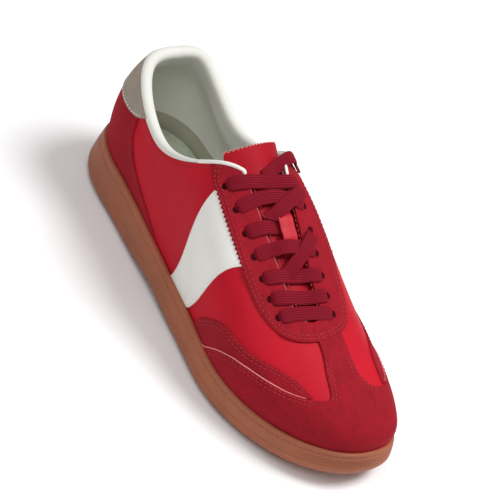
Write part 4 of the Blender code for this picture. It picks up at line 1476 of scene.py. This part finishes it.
def make_overlays():
    holes = {side: [round_place(row, side, EYELET_RADIUS)[0]
                    for row in range(1, EYELET_ROWS + 1)] for side in SIDES}

    def both(half):
        return {side: half(side) for side in SIDES}
    suede = finish["red_suede"]
    for side, name in SIDE_NAMES:
        make_panel(f"mudguard_{name}", {side: mudguard_half(side)}, SUEDE, suede)
        make_panel(f"side_band_{name}", {side: band_half(side)}, BAND,
                   finish["off_white_leather"])
    make_panel("toe_overlay", both(toe_half), SUEDE, suede, over_mudguard)
    make_panel("eyestay", both(eyestay_half), SUEDE, suede,
               over_stem_and_band, holes)
    make_panel("heel_counter", both(counter_half), SUEDE, suede)
    make_panel("backstay", both(backstay_half), SUEDE, suede, over_counter)
    make_panel("heel_tab", both(tab_half), TAB, finish["beige_suede"], over_counter)


# ---------------------------------------------------------------------------- outsole
def sole_ring(s, side, inset, height):
    plan, _ = outline(s, side, inset)
    return np.concatenate([plan, np.asarray(height(plan[:, 0]))[:, None]], axis=1)


def pad_share(x):
    """1 where a tread pad reaches the floor, 0 under the arch between the two pads."""
    return np.maximum(1 - smooth(HEEL_PAD_FRONT, HEEL_PAD_FRONT + 2, x),
                      smooth(FOREFOOT_PAD_BACK - 2, FOREFOOT_PAD_BACK, x))


TREAD_DEPTH = 1.1


def border(x):
    """Underside of the sole round the tread pads."""
    return PAD_DEPTH + arch(x) + spring(x)


def pad_base(x):
    """Ground of the tread pattern, a little above the ends of its lugs."""
    return (arch(x) + PAD_DEPTH) * (1 - pad_share(x)) + spring(x) + TREAD_DEPTH * pad_share(x)


WALL_TOP, WALL_BULGE = 0.9, 0.3      # the wall ends this far under the rim, and swells
# Fine lines moulded into the wall: height share, depth, half width as a height share, and
# the rows between which they fade in.
WALL_LINES = (
    (0.80, 0.55, 0.035, (-1.0, -0.5)),
    (0.18, 0.30, 0.030, (-1.0, -0.5)),
    (0.34, 0.35, 0.025, (11.2, 12.4)),
    (0.46, 0.35, 0.025, (11.2, 12.4)),
    (0.58, 0.35, 0.025, (11.2, 12.4)),
)
ACROSS_LINE = np.array([-1.6, -0.8, 0, 0.8, 1.6])    # rings across a line, in its half widths


def wall_ring(s, side, u):
    """Ring of the cup's wall at height share u, with its moulded lines."""
    row = s_row(s)
    plan, _ = outline(s, side, np.zeros(len(s)))
    low, high = border(plan[:, 0]) + BEVEL_TOP, rim_height(plan[:, 0]) - WALL_TOP
    inset = flare(s, side) * u - WALL_BULGE * np.sin(np.pi * u)
    for level, depth, width, rows in WALL_LINES:
        inset = inset + depth * bell(u, level, width) * smooth(*rows, row)
    return sole_ring(s, side, inset, lambda x: low + (high - low) * u)


# Rounded edge under the wall: distance inwards from the outline, and height over the border.
LOWER_EDGE = ((6.5, 0.05), (2.6, 0.65), (1.5, 1.3), (0.6, 2.4), (0.15, 3.9))
# Rim of the cup: distance inwards from the top of the wall, and height over the rim's line.
RIM_EDGE = ((0.25, -0.35), (0.9, 0.0), (1.7, 0.05), (2.5, -0.2), (2.9, -1.2))


def make_outsole():
    rows = fine_rows(9)
    shares = np.unique(np.concatenate([np.linspace(0, 1, 15)] + [
        level + width * ACROSS_LINE for level, _, width, _ in WALL_LINES]))
    shares = shares[(shares >= 0) & (shares <= 1)]

    def at(inset, height):
        return whole_ring(rows, lambda s, side: sole_ring(s, side, np.full(len(s), inset),
                                                          height))

    def beside(extra, height):
        return whole_ring(rows, lambda s, side: sole_ring(s, side, flare(s, side) + extra,
                                                          height))
    rings = [
        at(PAD_INSET + 0.4, pad_base),
        at(PAD_INSET - 0.2, lambda x: np.minimum(border(x), pad_base(x) + 0.3)),
        at(PAD_INSET - 0.9, border),
    ]
    rings += [at(inset, lambda x: border(x) + rise) for inset, rise in LOWER_EDGE]
    rings += [whole_ring(rows, lambda s, side: wall_ring(s, side, u)) for u in shares]
    rings += [beside(inset, lambda x: rim_height(x) + rise) for inset, rise in RIM_EDGE]
    rings.append(beside(RIM_EDGE[-1][0], floor_height))
    return new_piece("outsole_rubber", stacked(rings), finish["gum"],
                     ["outsole"], 50)


# Edge and top of the insole: distance inwards from its outline, and height over its bed.
INSOLE_SECTION = ((0.8, 0.0), (0.0, 0.8), (-0.4, 3.2), (0.3, 4.4), (1.6, 4.5), (6.0, 3.9),
                  (14.0, 3.6))


def make_insole():
    rows = fine_rows(6)
    beside = CUP_WALL + 2 * GAP + UPPER_WALL + INSOLE_CLEAR

    def ring(extra, rise):
        return whole_ring(rows, lambda s, side: sole_ring(
            s, side, flare(s, side) + beside + extra, lambda x: floor_height(x) + GAP + rise))
    rings = [ring(extra, rise) for extra, rise in INSOLE_SECTION]
    return new_piece("insole_sock", stacked(rings), finish["insole_cloth"],
                     ["insole"], 50)


# ----------------------------------------------------------------------------- tongue
TONGUE_COLUMNS = ("x", "z", "middle", "half_width", "crown")
TONGUE = (
    (-28.0, 104.6, -5.4, 17.6, 30.0),
    (-16.0, 98.2, -5.6, 19.0, 25.0),
    (5.0, 87.4, -5.2, 21.0, 33.0),
    (30.0, 74.2, -4.8, 20.0, 38.0),
    (52.0, 62.85, -4.0, 18.5, 33.0),
    (72.0, 54.15, -2.6, 17.0, 31.0),
)
TONGUE_THICKNESS, TONGUE_THINNER = 3.6, 0.45     # in its middle, and share lost at a side
TONGUE_KNOTS = column(TONGUE, TONGUE_COLUMNS, "x")
TONGUE_AT = {name: spline(TONGUE_KNOTS, column(TONGUE, TONGUE_COLUMNS, name))
             for name in TONGUE_COLUMNS[1:]}


def tongue_point(x, share, depth):
    """Point of the tongue at x along it and share across it (-1 to 1), under its face."""
    z, middle, half, crown = (TONGUE_AT[name](x)[..., 0] for name in TONGUE_COLUMNS[1:])
    slope = TONGUE_AT["z"](x + 0.5)[..., 0] - TONGUE_AT["z"](x - 0.5)[..., 0]
    steep = np.hypot(slope, 1)
    fall = np.stack([slope / steep, np.zeros_like(slope), -1 / steep], axis=-1)
    y = share * half
    drop = crown - np.sqrt(crown ** 2 - y ** 2)
    turn = y / crown
    outer = np.stack([x, middle + y, z], axis=-1) + fall * drop[..., None]
    inward = fall * np.sqrt(1 - turn ** 2)[..., None]
    inward[..., 1] -= turn
    thick = TONGUE_THICKNESS * (1 - TONGUE_THINNER * abs(share) ** 3)
    return outer + inward * (thick * depth)[..., None]


TONGUE_BACK = 1.7            # the tongue's visible end lies this far in front of the solid's
TONGUE_TILT = 1.2            # and its outer corner this much further


def make_tongue_layer(name, depth, trim, teeth, material, stands_for=()):
    """One layer of the tongue between two depths, with its back edge plain or pinked."""
    across = np.linspace(-1, 1, 31)
    along = np.linspace(0, 1, 70)
    back = TONGUE_KNOTS[0] + TONGUE_BACK + trim - TONGUE_TILT * across
    if teeth:
        back = back + np.where(np.arange(len(across)) % 2 == 1, 0.0, PINK_DEPTH)
    x = back + (TONGUE_KNOTS[-1] - back) * along[:, None]
    share = np.broadcast_to(across * (1 - 0.02 * trim), x.shape)
    bm = bmesh.new()
    layers = []
    for d in depth:
        p = tongue_point(x, share, np.full(x.shape, d)) * MM
        layers.append([[bm.verts.new(c) for c in row] for row in p])
    top, under = layers
    last_row, last = len(along) - 1, len(across) - 1
    for i in range(last_row):
        for j in range(last):
            bm.faces.new((top[i][j], top[i + 1][j], top[i + 1][j + 1], top[i][j + 1]))
            bm.faces.new((under[i][j], under[i][j + 1], under[i + 1][j + 1], under[i + 1][j]))
        for j in (0, last):
            bm.faces.new((top[i][j], under[i][j], under[i + 1][j], top[i + 1][j]))
    for i in (0, last_row):
        for j in range(last):
            bm.faces.new((top[i][j], top[i][j + 1], under[i][j + 1], under[i][j]))
    return new_piece(name, bm, material, stands_for, 50)


# ------------------------------------------------------------------------------- lace
LACE_WIDTH, LACE_THICKNESS = 8.0, 1.4
LACE_EDGE_THINNER, RIB_HEIGHT = 0.75, 0.13
LACE_CLEAR, LACE_SINK = 0.45, 0.6    # air under the lace, less what it presses in
LACE_STATIONS = 90
LEVEL_PLACES = (0.0, 0.29, 0.42, 0.54, 0.66, 0.8, 1.0)
# Each strap: its piece, the CAD solid that it stands for, the eyelet rows at its outer end,
# its middle and its inner end, the shares of its way that it covers, how far its end is
# slanted, and its level over the eyestay at LEVEL_PLACES.
STRAPS = (
    ("lace_row_1", "lace_bar_1", 1, 1.27, 1.08, (0, 1), 0, (0, 0, -2.0, -2.4, -2.0, 0, 0)),
    ("lace_row_2", "lace_cross_upper", 2, 1.80, 2, (0, 1), 0, (0, 0, 0.2, 0.3, 0.3, 0.2, 0)),
    ("lace_diagonal", "lace_cross_upper", 3.3, 2.42, 1.40, (0.37, 1), 0.8,
     (-1.5, -1.5, -1.1, 0.9, 1.6, 2.1, 2.2)),
    ("lace_row_3", "lace_cross_lower", 3, 2.96, 3.1, (0, 0.74), 0,
     (0, 0.25, -2.3, -2.4, -2.35, -2.4, -2.4)),
    ("lace_row_4", "lace_cross_lower", 4, 3.84, 3.95, (0, 1), 0,
     (0, 0.6, 2.5, 2.45, 1.2, 0.2, 0)),
    ("lace_cross", "lace_cross_lower", 5.9, 4.72, 3.15, (0.35, 1), 0.7,
     (-1.5, -1.5, -1.3, 0.2, 1.6, 2.3, 0.9)),
    ("lace_row_5", "lace_bar_5", 5, 5.08, 5, (0, 1), 0, (0, 0.15, -1.7, -2.1, -1.7, 0.15, 0)),
    ("lace_row_6", "lace_bar_6", 6, 6.14, 6, (0, 1), 0, (0, 0.25, -1.6, -2.0, -1.6, 0.25, 0)),
    ("lace_row_7", "lace_bar_7", 7, 7, 7, (0, 1), 0, (0, 0, 0, 0, 0, 0, 0)),
)
GATHER = 4.5                 # over this length the lace narrows towards its eyelet
GATHERED = 0.58              # to this share of its width
SLANT_FADE = 7.0             # a slanted end turns square over this length
PLUNGE_LENGTH, PLUNGE = 2.6, 2.6     # at its eyelet the lace dips this deep


def instep_path(outer_row, middle_row, inner_row):
    """Splines of the points and normals of a line over the instep, eyelet to eyelet."""
    outer, inner = eyelet(outer_row, OUTER), eyelet(inner_row, INNER)
    x = eyelet(middle_row, 0)[0]
    middle = np.array([x, throat_gap(x)[1] - EYELET_SHIFT])
    plan = spline((0.0, 0.5, 1.0), (outer, middle, inner))
    knots, points, normals = [], [], []
    for side, places in ((OUTER, (0.0, 0.1, 0.2)), (INNER, (0.8, 0.9, 1.0))):
        for t in places:
            s, v = find(plan(t)[None], side)
            knots.append(t)
            points.append(upper_point(s, v, side)[0])
            normals.append(upper_normal(s, v, side)[0])
    return spline(knots, points), spline(knots, normals)


def lace_profile(width, thickness):
    """Section of the flat lace, ribbed lengthwise on both faces, and its u coordinates."""
    u = np.linspace(-1, 1, 6 * LACE_RIBS + 1)
    body = thickness / 2 * (1 - abs(u) ** 6 * LACE_EDGE_THINNER)
    ribs = RIB_HEIGHT * np.cos(np.pi * LACE_RIBS * (u + 1) + np.pi) * (1 - abs(u) ** 8)
    top = np.stack([u * width / 2, thickness / 2 + body + ribs], axis=1)
    under = np.stack([u * width / 2, thickness / 2 - body - ribs], axis=1)[::-1]
    return np.vstack([top, under[1:-1]]), np.concatenate([(u + 1) / 2, ((u + 1) / 2)[::-1][1:-1]])


def ribbon(name, points, ups, widths, slants, stands_for=()):
    """Ribbed lace along points, with its own coordinates across and along it."""
    ahead = unit(np.gradient(points, axis=0))
    ups = unit(ups - ahead * (ups * ahead).sum(-1, keepdims=True))
    across = np.cross(ahead, ups)
    length = run_lengths(points)
    bm = bmesh.new()
    layer_uv = bm.loops.layers.uv.new("UVMap")
    loops, places = [], {}
    for k, point in enumerate(points):
        profile, u = lace_profile(widths[k], LACE_THICKNESS)
        loop = []
        for (a, b), share in zip(profile, u):
            place = point + across[k] * a + ups[k] * b + ahead[k] * (a * slants[k])
            vert = bm.verts.new(place * MM)
            places[vert] = (share, length[k] * MM)
            loop.append(vert)
        loops.append(loop)
    joined_rings(bm, loops)
    for face in bm.faces:
        for corner in face.loops:
            corner[layer_uv].uv = places[corner.vert]
    return new_piece(name, bm, finish["lace"], stands_for, 60)


def make_strap(row):
    piece, cad_node, outer_row, middle_row, inner_row, (start, end), slant, levels = row
    points, normals = instep_path(outer_row, middle_row, inner_row)
    t = np.linspace(start, end, LACE_STATIONS)
    length = np.linalg.norm(points(1.0) - points(0.0))
    from_end = np.minimum(t if start == 0 else 1.0, 1 - t if end == 1 else 1.0) * length
    slants = slant * (1 - smooth(0, SLANT_FADE, (t - start) * length))
    height = LACE_CLEAR + spline(LEVEL_PLACES, levels)(t)[:, 0] + SUEDE - LACE_SINK
    height = height - PLUNGE * (1 - smooth(0.0, PLUNGE_LENGTH, from_end))
    ups = unit(normals(t))
    line = points(t) + ups * height[:, None]
    widths = LACE_WIDTH * (GATHERED + (1 - GATHERED) * np.sqrt(smooth(-1.0, GATHER, from_end)))
    return ribbon(piece, line, ups, widths, slants, [cad_node])


# The short upper end of the lace: it comes out under row 1, crosses the tongue and lies
# over the binding of the inner side.
LACE_END_ROW = 6.78
LACE_END_SLANT, LACE_END_WIDTH = -0.7, 0.96      # its width as a share of the lace's
# Its places on the tongue: x, share across, and height over it.
LACE_END_ON_TONGUE = ((-8.6, -0.10, 0.25), (-10.6, 0.12, 0.5), (-13.4, 0.42, 1.6))
# Its places on the inner side: height share under the edge, and height over the leather.
LACE_END_OVER_EDGE = ((0.0, 3.3), (0.06, 2.3), (0.14, 1.75))


def make_lace_end():
    places, ups = [], []
    for x, share, lift in LACE_END_ON_TONGUE:
        p = tongue_point(np.array(x), np.array(share), 0.0)
        beside = tongue_point(np.array(x), np.array(share + 0.02), 0.0) - p
        ahead = tongue_point(np.array(x + 0.5), np.array(share), 0.0) - p
        n = unit(np.cross(ahead, beside))
        places.append(p + n * lift)
        ups.append(n)
    s = row_s(np.array([LACE_END_ROW]))
    edge = edge_v(s, INNER)
    for back, lift in LACE_END_OVER_EDGE:
        p, n = skin(s, edge - back, INNER, lift)
        if back == 0:
            n = unit(n + np.array([0, 0, 0.9]))     # it turns over the edge here
        places.append(p[0])
        ups.append(n[0])
    places, ups = np.array(places), np.array(ups)
    knots = run_lengths(places)
    t = np.linspace(0, knots[-1], 70)
    points = spline(knots, places)(t)
    slants = LACE_END_SLANT * (1 - smooth(0, SLANT_FADE, t))
    widths = np.full(len(t), LACE_WIDTH * LACE_END_WIDTH)
    return ribbon("lace_end", points, unit(spline(knots, ups)(t)), widths, slants)


KEEPER_WIDTH, KEEPER_THICKNESS, KEEPER_MIDDLE = 9.5, 1.2, -2.5
KEEPER_COLUMNS = ("x", "level")
KEEPER = ((6.5, -2.9), (10.0, -2.1), (13.5, 0.4), (20.0, 0.6), (25.6, 0.5), (28.8, -2.0),
          (31.5, -2.9))
# Its stitched-down edge: distance inwards, and height over its flat top.
KEEPER_EDGE = ((0.0, -0.4), (0.15, -0.1), (0.6, 0.05), (1.4, -0.12), (2.2, 0.02))


def make_keeper():
    """Leather strap on the middle of the tongue, with a rounded edge."""
    knots = column(KEEPER, KEEPER_COLUMNS, "x")
    level = spline(knots, column(KEEPER, KEEPER_COLUMNS, "level"))
    heights = spline(column(SECTIONS, SECTION_COLUMNS, "top_x")[8:],
                     column(SECTIONS, SECTION_COLUMNS, "top_z")[8:])
    x = np.linspace(knots[0], knots[-1], 60)
    line = np.stack([x, np.full(len(x), KEEPER_MIDDLE), heights(x)[:, 0] + level(x)[:, 0]], axis=1)
    ahead = unit(np.gradient(line, axis=0))
    ups = unit(np.stack([-ahead[:, 2], np.zeros(len(x)), ahead[:, 0]], axis=1))
    half, thick = KEEPER_WIDTH / 2, KEEPER_THICKNESS
    edge = [(half - 0.3, 0.0), (half, 0.3)]
    edge += [(half - inset, thick + level) for inset, level in KEEPER_EDGE]
    section = edge + [(0.0, thick + 0.1)] + [(-across, up) for across, up in edge[::-1]]
    stations = [(p, np.array([0, -1.0, 0]), u) for p, u in zip(line, ups)]
    bm = swept(stations, lambda k: section)
    return new_piece("lace_keeper_strap", bm, finish["keeper_leather"],
                     ["lace_keeper"], 50)


# --------------------------------------------------------------------- stitches and lugs
STITCH = {"Length": 2.0, "Width": 0.62, "Height": 0.5}
SOLE_STITCH = {"Length": 2.5, "Width": 0.8, "Height": 0.7}
STITCH_PITCH, SOLE_STITCH_PITCH = 2.9, 3.4
# Rows of stitches: distance from the panel's edge, negative to the right of its line.
EYESTAY_SEAMS, TOE_SEAMS, COUNTER_SEAMS = (-1.7, -3.7), (-1.4, -3.2), (-1.5, -3.4)
THROAT_SEAM, BACKSTAY_SEAM, BAND_SEAM, TAB_SEAM = 1.9, 1.3, 1.5, 1.4
COLLAR_SEAM, COLLAR_SEAM_ROWS = 4.6, (3.35, 6.05)    # this far under the collar's line


def stitch_shape(tree, given):
    ball = node(tree, "GeometryNodeMeshUVSphere", {"Segments": 8, "Rings": 5, "Radius": 0.5})
    size = node(tree, "ShaderNodeCombineXYZ", {k: given.outputs[name] for k, name in
                                               (("X", "Length"), ("Y", "Width"), ("Z", "Height"))})
    return node(tree, "GeometryNodeTransform", {"Geometry": ball.outputs["Mesh"],
                                                "Scale": size.outputs[0]}).outputs[0]


def lug_shape(tree, given):
    """Slanted block of the tread, standing on its guide point."""
    outline_node = node(tree, "GeometryNodeCurvePrimitiveQuadrilateral",
                        {"Width": given.outputs["Length"], "Height": given.outputs["Width"],
                         "Offset": given.outputs["Slant"]}, mode="PARALLELOGRAM")
    ground = node(tree, "GeometryNodeFillCurve", {"Curve": outline_node.outputs[0]},
                  mode="NGONS")
    raised = node(tree, "GeometryNodeExtrudeMesh", {"Mesh": ground.outputs[0],
                                                    "Offset Scale": given.outputs["Height"]})
    turned = node(tree, "GeometryNodeFlipFaces", {"Mesh": ground.outputs[0]})
    both = tree.nodes.new("GeometryNodeJoinGeometry")
    tree.links.new(raised.outputs["Mesh"], both.inputs[0])
    tree.links.new(turned.outputs[0], both.inputs[0])
    return node(tree, "GeometryNodeMergeByDistance", {"Geometry": both.outputs[0],
                                                      "Distance": 0.02 * MM}).outputs[0]


def stud_shape(tree, given):
    """Blunt six-sided stud."""
    cone = node(tree, "GeometryNodeMeshCone", {"Vertices": 6, "Radius Top": given.outputs["Top"],
                                               "Radius Bottom": given.outputs["Foot"],
                                               "Depth": given.outputs["Height"]})
    return cone.outputs["Mesh"]


def sewn(points, side, inset, lift, base=flat_lift):
    """Guide of stitches along a run, at a distance to its left, on a panel of that lift."""
    q = even(run_line(points), side, 1.5)
    q = moved(q, left_of(q, side, False), np.full(len(q), inset), side)
    q = even(q, side, STITCH_PITCH)
    p, n = on_panel(q, side, lift, base)
    return p, unit(np.gradient(p, axis=0)), n


def above_rim(guide, clear=1.0):
    """The part of a guide that stands this far over the rim of the cup."""
    keep = guide[0][:, 2] > rim_height(guide[0][:, 0]) + clear
    return [part[keep] for part in guide]


def upper_stitches():
    """Guides of the red stitching of the upper."""
    out = []
    top = SUEDE + 0.04
    for side in SIDES:
        edge = [(RIDGE_OVERLAY, 1.0), *EYESTAY_EDGE[side], (6.3, 0.965)]
        for inset in EYESTAY_SEAMS:
            out.append(sewn(edge, side, inset, top, over_stem_and_band))
        out.append(sewn(throat_run(side, 7.35)[:-6], side, THROAT_SEAM, top))
        for inset in TOE_SEAMS:
            out.append(above_rim(sewn(TOE_EDGE, side, inset, top, over_mudguard), 2.0))
            out.append(sewn(STEM[side][1:], side, inset, top))
        for run, insets in ((MUDGUARD_EDGE[1:-1], TOE_SEAMS), (COUNTER_EDGE, COUNTER_SEAMS)):
            out += [above_rim(sewn(run, side, inset, top)) for inset in insets]
        backstay = ((0.30, 0.12), BACKSTAY_EDGE[1], (0.26, 0.60))
        out.append(above_rim(sewn(backstay, side, BACKSTAY_SEAM, top + COUNTER_UNDER)))
        places = np.linspace(*COLLAR_SEAM_ROWS, 60)
        s = row_s(places)
        _, upward = slopes(s, np.ones(60), side)
        v = 1.0 - COLLAR_SEAM / np.linalg.norm(upward, axis=-1)
        out.append(sewn(np.stack([places, v], axis=1), side, 0.0, 0.05))
    return out


def pale_stitches():
    """Guides of the pale stitching on the side bands and the heel tab."""
    out = []
    for side in SIDES:
        for run in band_sides(side):
            out.append(above_rim(sewn(run, side, BAND_SEAM, BAND + 0.03)))
        out.append(sewn(TAB_EDGE[:-1], side, TAB_SEAM, TAB + COUNTER_UNDER + 0.04))
    return out


def sole_stitches():
    """Guide of the stitching that lies in the channel under the rim."""
    out = []
    level = WALL_LINES[0][0]
    for side in SIDES:
        s = np.linspace(0, 1, 1200)
        p = wall_ring(s, side, level)
        length = run_lengths(p)
        places = np.arange(SOLE_STITCH_PITCH / 2, length[-1], SOLE_STITCH_PITCH)
        places = np.interp(places, length, s)
        p = wall_ring(places, side, level)
        _, outward = outline(places, side, np.zeros(len(places)))
        n = np.concatenate([outward, np.zeros((len(places), 1))], axis=1)
        out.append((p + n * 0.05, unit(np.gradient(p, axis=0)), n))
    return out


TREAD_ROWS_ACROSS, TREAD_ALONG = 8.2, 4.9
LUG_ROOT, STUD_ROOT = 0.2, 0.05      # how deep lugs and studs are sunk into the rubber
LUG = {"Length": 3.7, "Width": 6.8, "Slant": 2.6, "Height": TREAD_DEPTH + LUG_ROOT}
LUG_RANGE, LUG_MARGIN = (14.0, 130.0), 3.2       # from and to along X, and from the edge
FIELD_HALF = 48.0            # the fields of lugs and studs reach this far to either side
STUD = {"Top": 1.15, "Foot": 2.35, "Height": 1.15}
STUD_PITCH = 5.4


def under_sole(x, y, margin):
    """Which places of the underside lie inside the border."""
    ring = whole_ring(fine_rows(6),
                      lambda s, side: outline(s, side, np.full(len(s), margin))[0])
    return contains(ring, np.stack([x, y], axis=-1))


def grid_places(x_range, pitch_x, pitch_y):
    """Staggered places under the sole: x, y and the number of the row of each."""
    start, end = x_range
    rows = enumerate(np.arange(-FIELD_HALF, FIELD_HALF + 1, pitch_y))
    return np.array([(x, y, row) for row, y in rows
                     for x in np.arange(start + pitch_x / 2 * (row % 2), end, pitch_x)]).T


def underside_guides(x, y, height, turn):
    """Guides pointing down; turn is the sign of each shape's slant."""
    count = len(x)
    points = np.stack([x, y, height], axis=-1)
    step = 0.5
    rise = (spring(x + step) - spring(x - step)) / (2 * step)
    along = unit(np.stack([turn, np.zeros(count), rise * turn], axis=-1))
    out = unit(np.stack([rise, np.zeros(count), np.full(count, -1.0)], axis=-1))
    return points, along, out


PLATE = (-16.0, 12.0, 26.0, 15.0)    # plain plate at the waist: x, y, length and width
PLATE_CLEAR = 2.6            # from the plate to the nearest studs
PLATE_CORNER, CORNER_STEPS = 3.5, 8
# Its edge: distance inwards, and height over the rubber round it.
PLATE_SECTION = ((-0.3, -0.3), (0.0, 0.6), (0.4, 0.9), (1.0, 0.95))


def make_tread():
    x, y, row = grid_places(LUG_RANGE, TREAD_ALONG, TREAD_ROWS_ACROSS)
    keep = under_sole(x, y, PAD_INSET + LUG_MARGIN)
    x, y, row = x[keep], y[keep], row[keep]
    guide = underside_guides(x, y, pad_base(x) + LUG_ROOT, np.where(row % 2 == 1, -1.0, 1.0))
    tree = repeat_tree("forefoot_lug", LUG, lug_shape)
    make_repeats("forefoot_tread", tree, LUG, [guide], finish["gum"])
    guides = []
    heel = ((-134.0, HEEL_PAD_FRONT - 2.0), pad_base, 3.4)
    waist = ((HEEL_PAD_FRONT + 3.5, FOREFOOT_PAD_BACK - 3.0), border, 3.0)
    for x_range, ground, margin in (heel, waist):
        x, y, row = grid_places(x_range, STUD_PITCH, STUD_PITCH * 0.8)
        plate = ((abs(x - PLATE[0]) < PLATE[2] / 2 + PLATE_CLEAR)
                 & (abs(y - PLATE[1]) < PLATE[3] / 2 + PLATE_CLEAR))
        keep = under_sole(x, y, PAD_INSET + margin) & ~plate
        x, y = x[keep], y[keep]
        guides.append(underside_guides(x, y, ground(x) + STUD_ROOT, np.ones(len(x))))
    tree = repeat_tree("sole_stud", STUD, stud_shape)
    make_repeats("sole_studs", tree, STUD, guides, finish["gum"])


def make_waist_plate():
    """Smooth oblong plate with rounded corners on the inner side of the waist."""
    x, y, length, width = PLATE
    loops = []
    bm = bmesh.new()
    for inset, drop in PLATE_SECTION:
        loop = []
        for k, (sx, sy) in enumerate(((1, 1), (-1, 1), (-1, -1), (1, -1))):
            middle = (x + sx * (length / 2 - PLATE_CORNER), y + sy * (width / 2 - PLATE_CORNER))
            for step in range(CORNER_STEPS + 1):
                turn = np.pi / 2 * (k + step / CORNER_STEPS)
                px = middle[0] + (PLATE_CORNER - inset) * np.cos(turn)
                py = middle[1] + (PLATE_CORNER - inset) * np.sin(turn)
                loop.append(bm.verts.new(Vector((px, py, float(border(px)) - drop)) * MM))
        loops.append(loop)
    joined_rings(bm, loops)
    return new_piece("waist_plate", bm, finish["gum"])


RAW_EDGE_LEVEL = 0.72        # height of the pale cut edges, as a share of the suede's


def make_raw_edges():
    """Pale cut edges: of the toe overlay on the mudguard strips, and along the throat."""
    for side, name in SIDE_NAMES:
        toe = run_line(TOE_EDGE[:-1] + ((11.28, 0.556),))
        strips = [("toe_raw_edge", toe, over_mudguard, (0.34, 0.30), "raw_edge")]
        if side == OUTER:
            throat = throat_run(side, 7.45)[:-9]
            strips.append(("throat_raw_edge", throat, flat_lift, (0.24, 0.24), "soft_raw_edge"))
        for piece, line, base, radius, look in strips:
            p, n = on_panel(even(line, side, 1.2), side, RAW_EDGE_LEVEL * SUEDE, base)
            ahead = unit(np.gradient(p, axis=0))
            stations = list(zip(p, np.cross(ahead, n), n))
            section = circle(8) * radius
            bm = swept(stations, lambda k: section)
            new_piece(f"{piece}_{name}", bm, finish[look])


def make_stitching():
    tree = repeat_tree("stitch", STITCH, stitch_shape)
    make_repeats("red_stitches", tree, STITCH, upper_stitches(), finish["red_thread"])
    make_repeats("pale_stitches", tree, STITCH, pale_stitches(), finish["white_thread"])
    make_repeats("sole_stitches", tree, SOLE_STITCH, sole_stitches(), finish["gum_thread"])


# ------------------------------------------------------------------- floor, light, camera
CAMERA_PLACE = Vector((0.644, -0.706, 0.818))
CAMERA_UP = Vector((-0.700, 0.107, 0.706))
CAMERA_AIM = Vector((0.000, 0.000, 0.046))
CAMERA_LENS, CAMERA_SENSOR = 158.0, 36.0
FLOOR_SIZE, FLOOR_WHITE = 6.0, (0.94, 0.94, 0.945)
# Soft round lights: name, place, power and size.
LIGHTS = (
    ("key_light", (0.40, 0.8, 1.7), 29.0, 0.9),
    ("fill_light", (0.45, -0.75, 1.35), 5.0, 0.9),
    ("top_light", (-0.15, -0.40, 1.6), 3.5, 0.8),
)
LIGHT_AIM = Vector((0, 0, 0.05))
AIR_LIGHT = 0.33


def make_floor():
    m, tree, shader = new_material("studio_floor")
    tone = noise(tree, own_place(tree), 2.0, 2.0)
    tree.links.new(toned(tree, tone, FLOOR_WHITE, 0.9894, 1.0106), shader.inputs["Base Color"])
    set_inputs(shader, Roughness=0.9)
    bm = bmesh.new()
    bmesh.ops.create_grid(bm, x_segments=2, y_segments=2, size=FLOOR_SIZE / 2)
    mesh = bpy.data.meshes.new("studio_floor")
    bm.to_mesh(mesh)
    bm.free()
    mesh.materials.append(m)
    obj = put_in_scene("studio_floor", mesh)


def make_light(name, place, power, size):
    data = bpy.data.lights.new(name, "AREA")
    data.energy = power
    data.shape = "DISK"
    data.size = size
    obj = put_in_scene(name, data)
    obj.location = place
    obj.rotation_mode = "QUATERNION"
    obj.rotation_quaternion = (LIGHT_AIM - Vector(place)).to_track_quat("-Z", "Y")


def make_studio():
    make_floor()
    world = bpy.data.worlds.new("studio_air")
    world.use_nodes = True
    set_inputs(world.node_tree.nodes["Background"], Color=(1.0, 1.0, 1.0, 1),
               Strength=AIR_LIGHT)
    scene = bpy.context.scene
    scene.world = world
    for light in LIGHTS:
        make_light(*light)
    scene.view_settings.view_transform = "Standard"
    scene.view_settings.look = "None"
    scene.view_settings.exposure = 0.0


def make_camera():
    data = bpy.data.cameras.new("camera")
    data.lens = CAMERA_LENS
    data.sensor_width = CAMERA_SENSOR
    data.clip_start, data.clip_end = 0.05, 20.0
    obj = put_in_scene("camera", data)
    ahead = (CAMERA_AIM - CAMERA_PLACE).normalized()
    right = ahead.cross(CAMERA_UP).normalized()
    up = right.cross(ahead)
    turn = Matrix((right, up, -ahead)).transposed().to_4x4()
    obj.matrix_world = Matrix.Translation(CAMERA_PLACE) @ turn
    bpy.context.scene.camera = obj


# ------------------------------------------------------------------------------- build
def build():
    make_outsole()
    make_insole()
    make_upper_shell()
    make_collar_lining()
    make_binding(OUTER, "outer")
    make_binding(INNER, "inner")
    make_overlays()
    make_eyelet_depths()
    tongue = make_tongue_layer("tongue_leather", (0.0, 0.24), 0.0, True,
                               finish["tongue_leather"], ["tongue"])
    make_tongue_layer("tongue_raw_edge", (0.25, 0.36), -0.55, True, finish["raw_edge"])
    tongue_lining = make_tongue_layer("tongue_lining", (0.37, 1.0), 0.9, False,
                                      finish["lining"])
    for row in STRAPS:
        make_strap(row)
    make_lace_end()
    make_keeper()
    make_raw_edges()
    make_stitching()
    make_tread()
    make_waist_plate()
    make_studio()
    make_camera()


build()
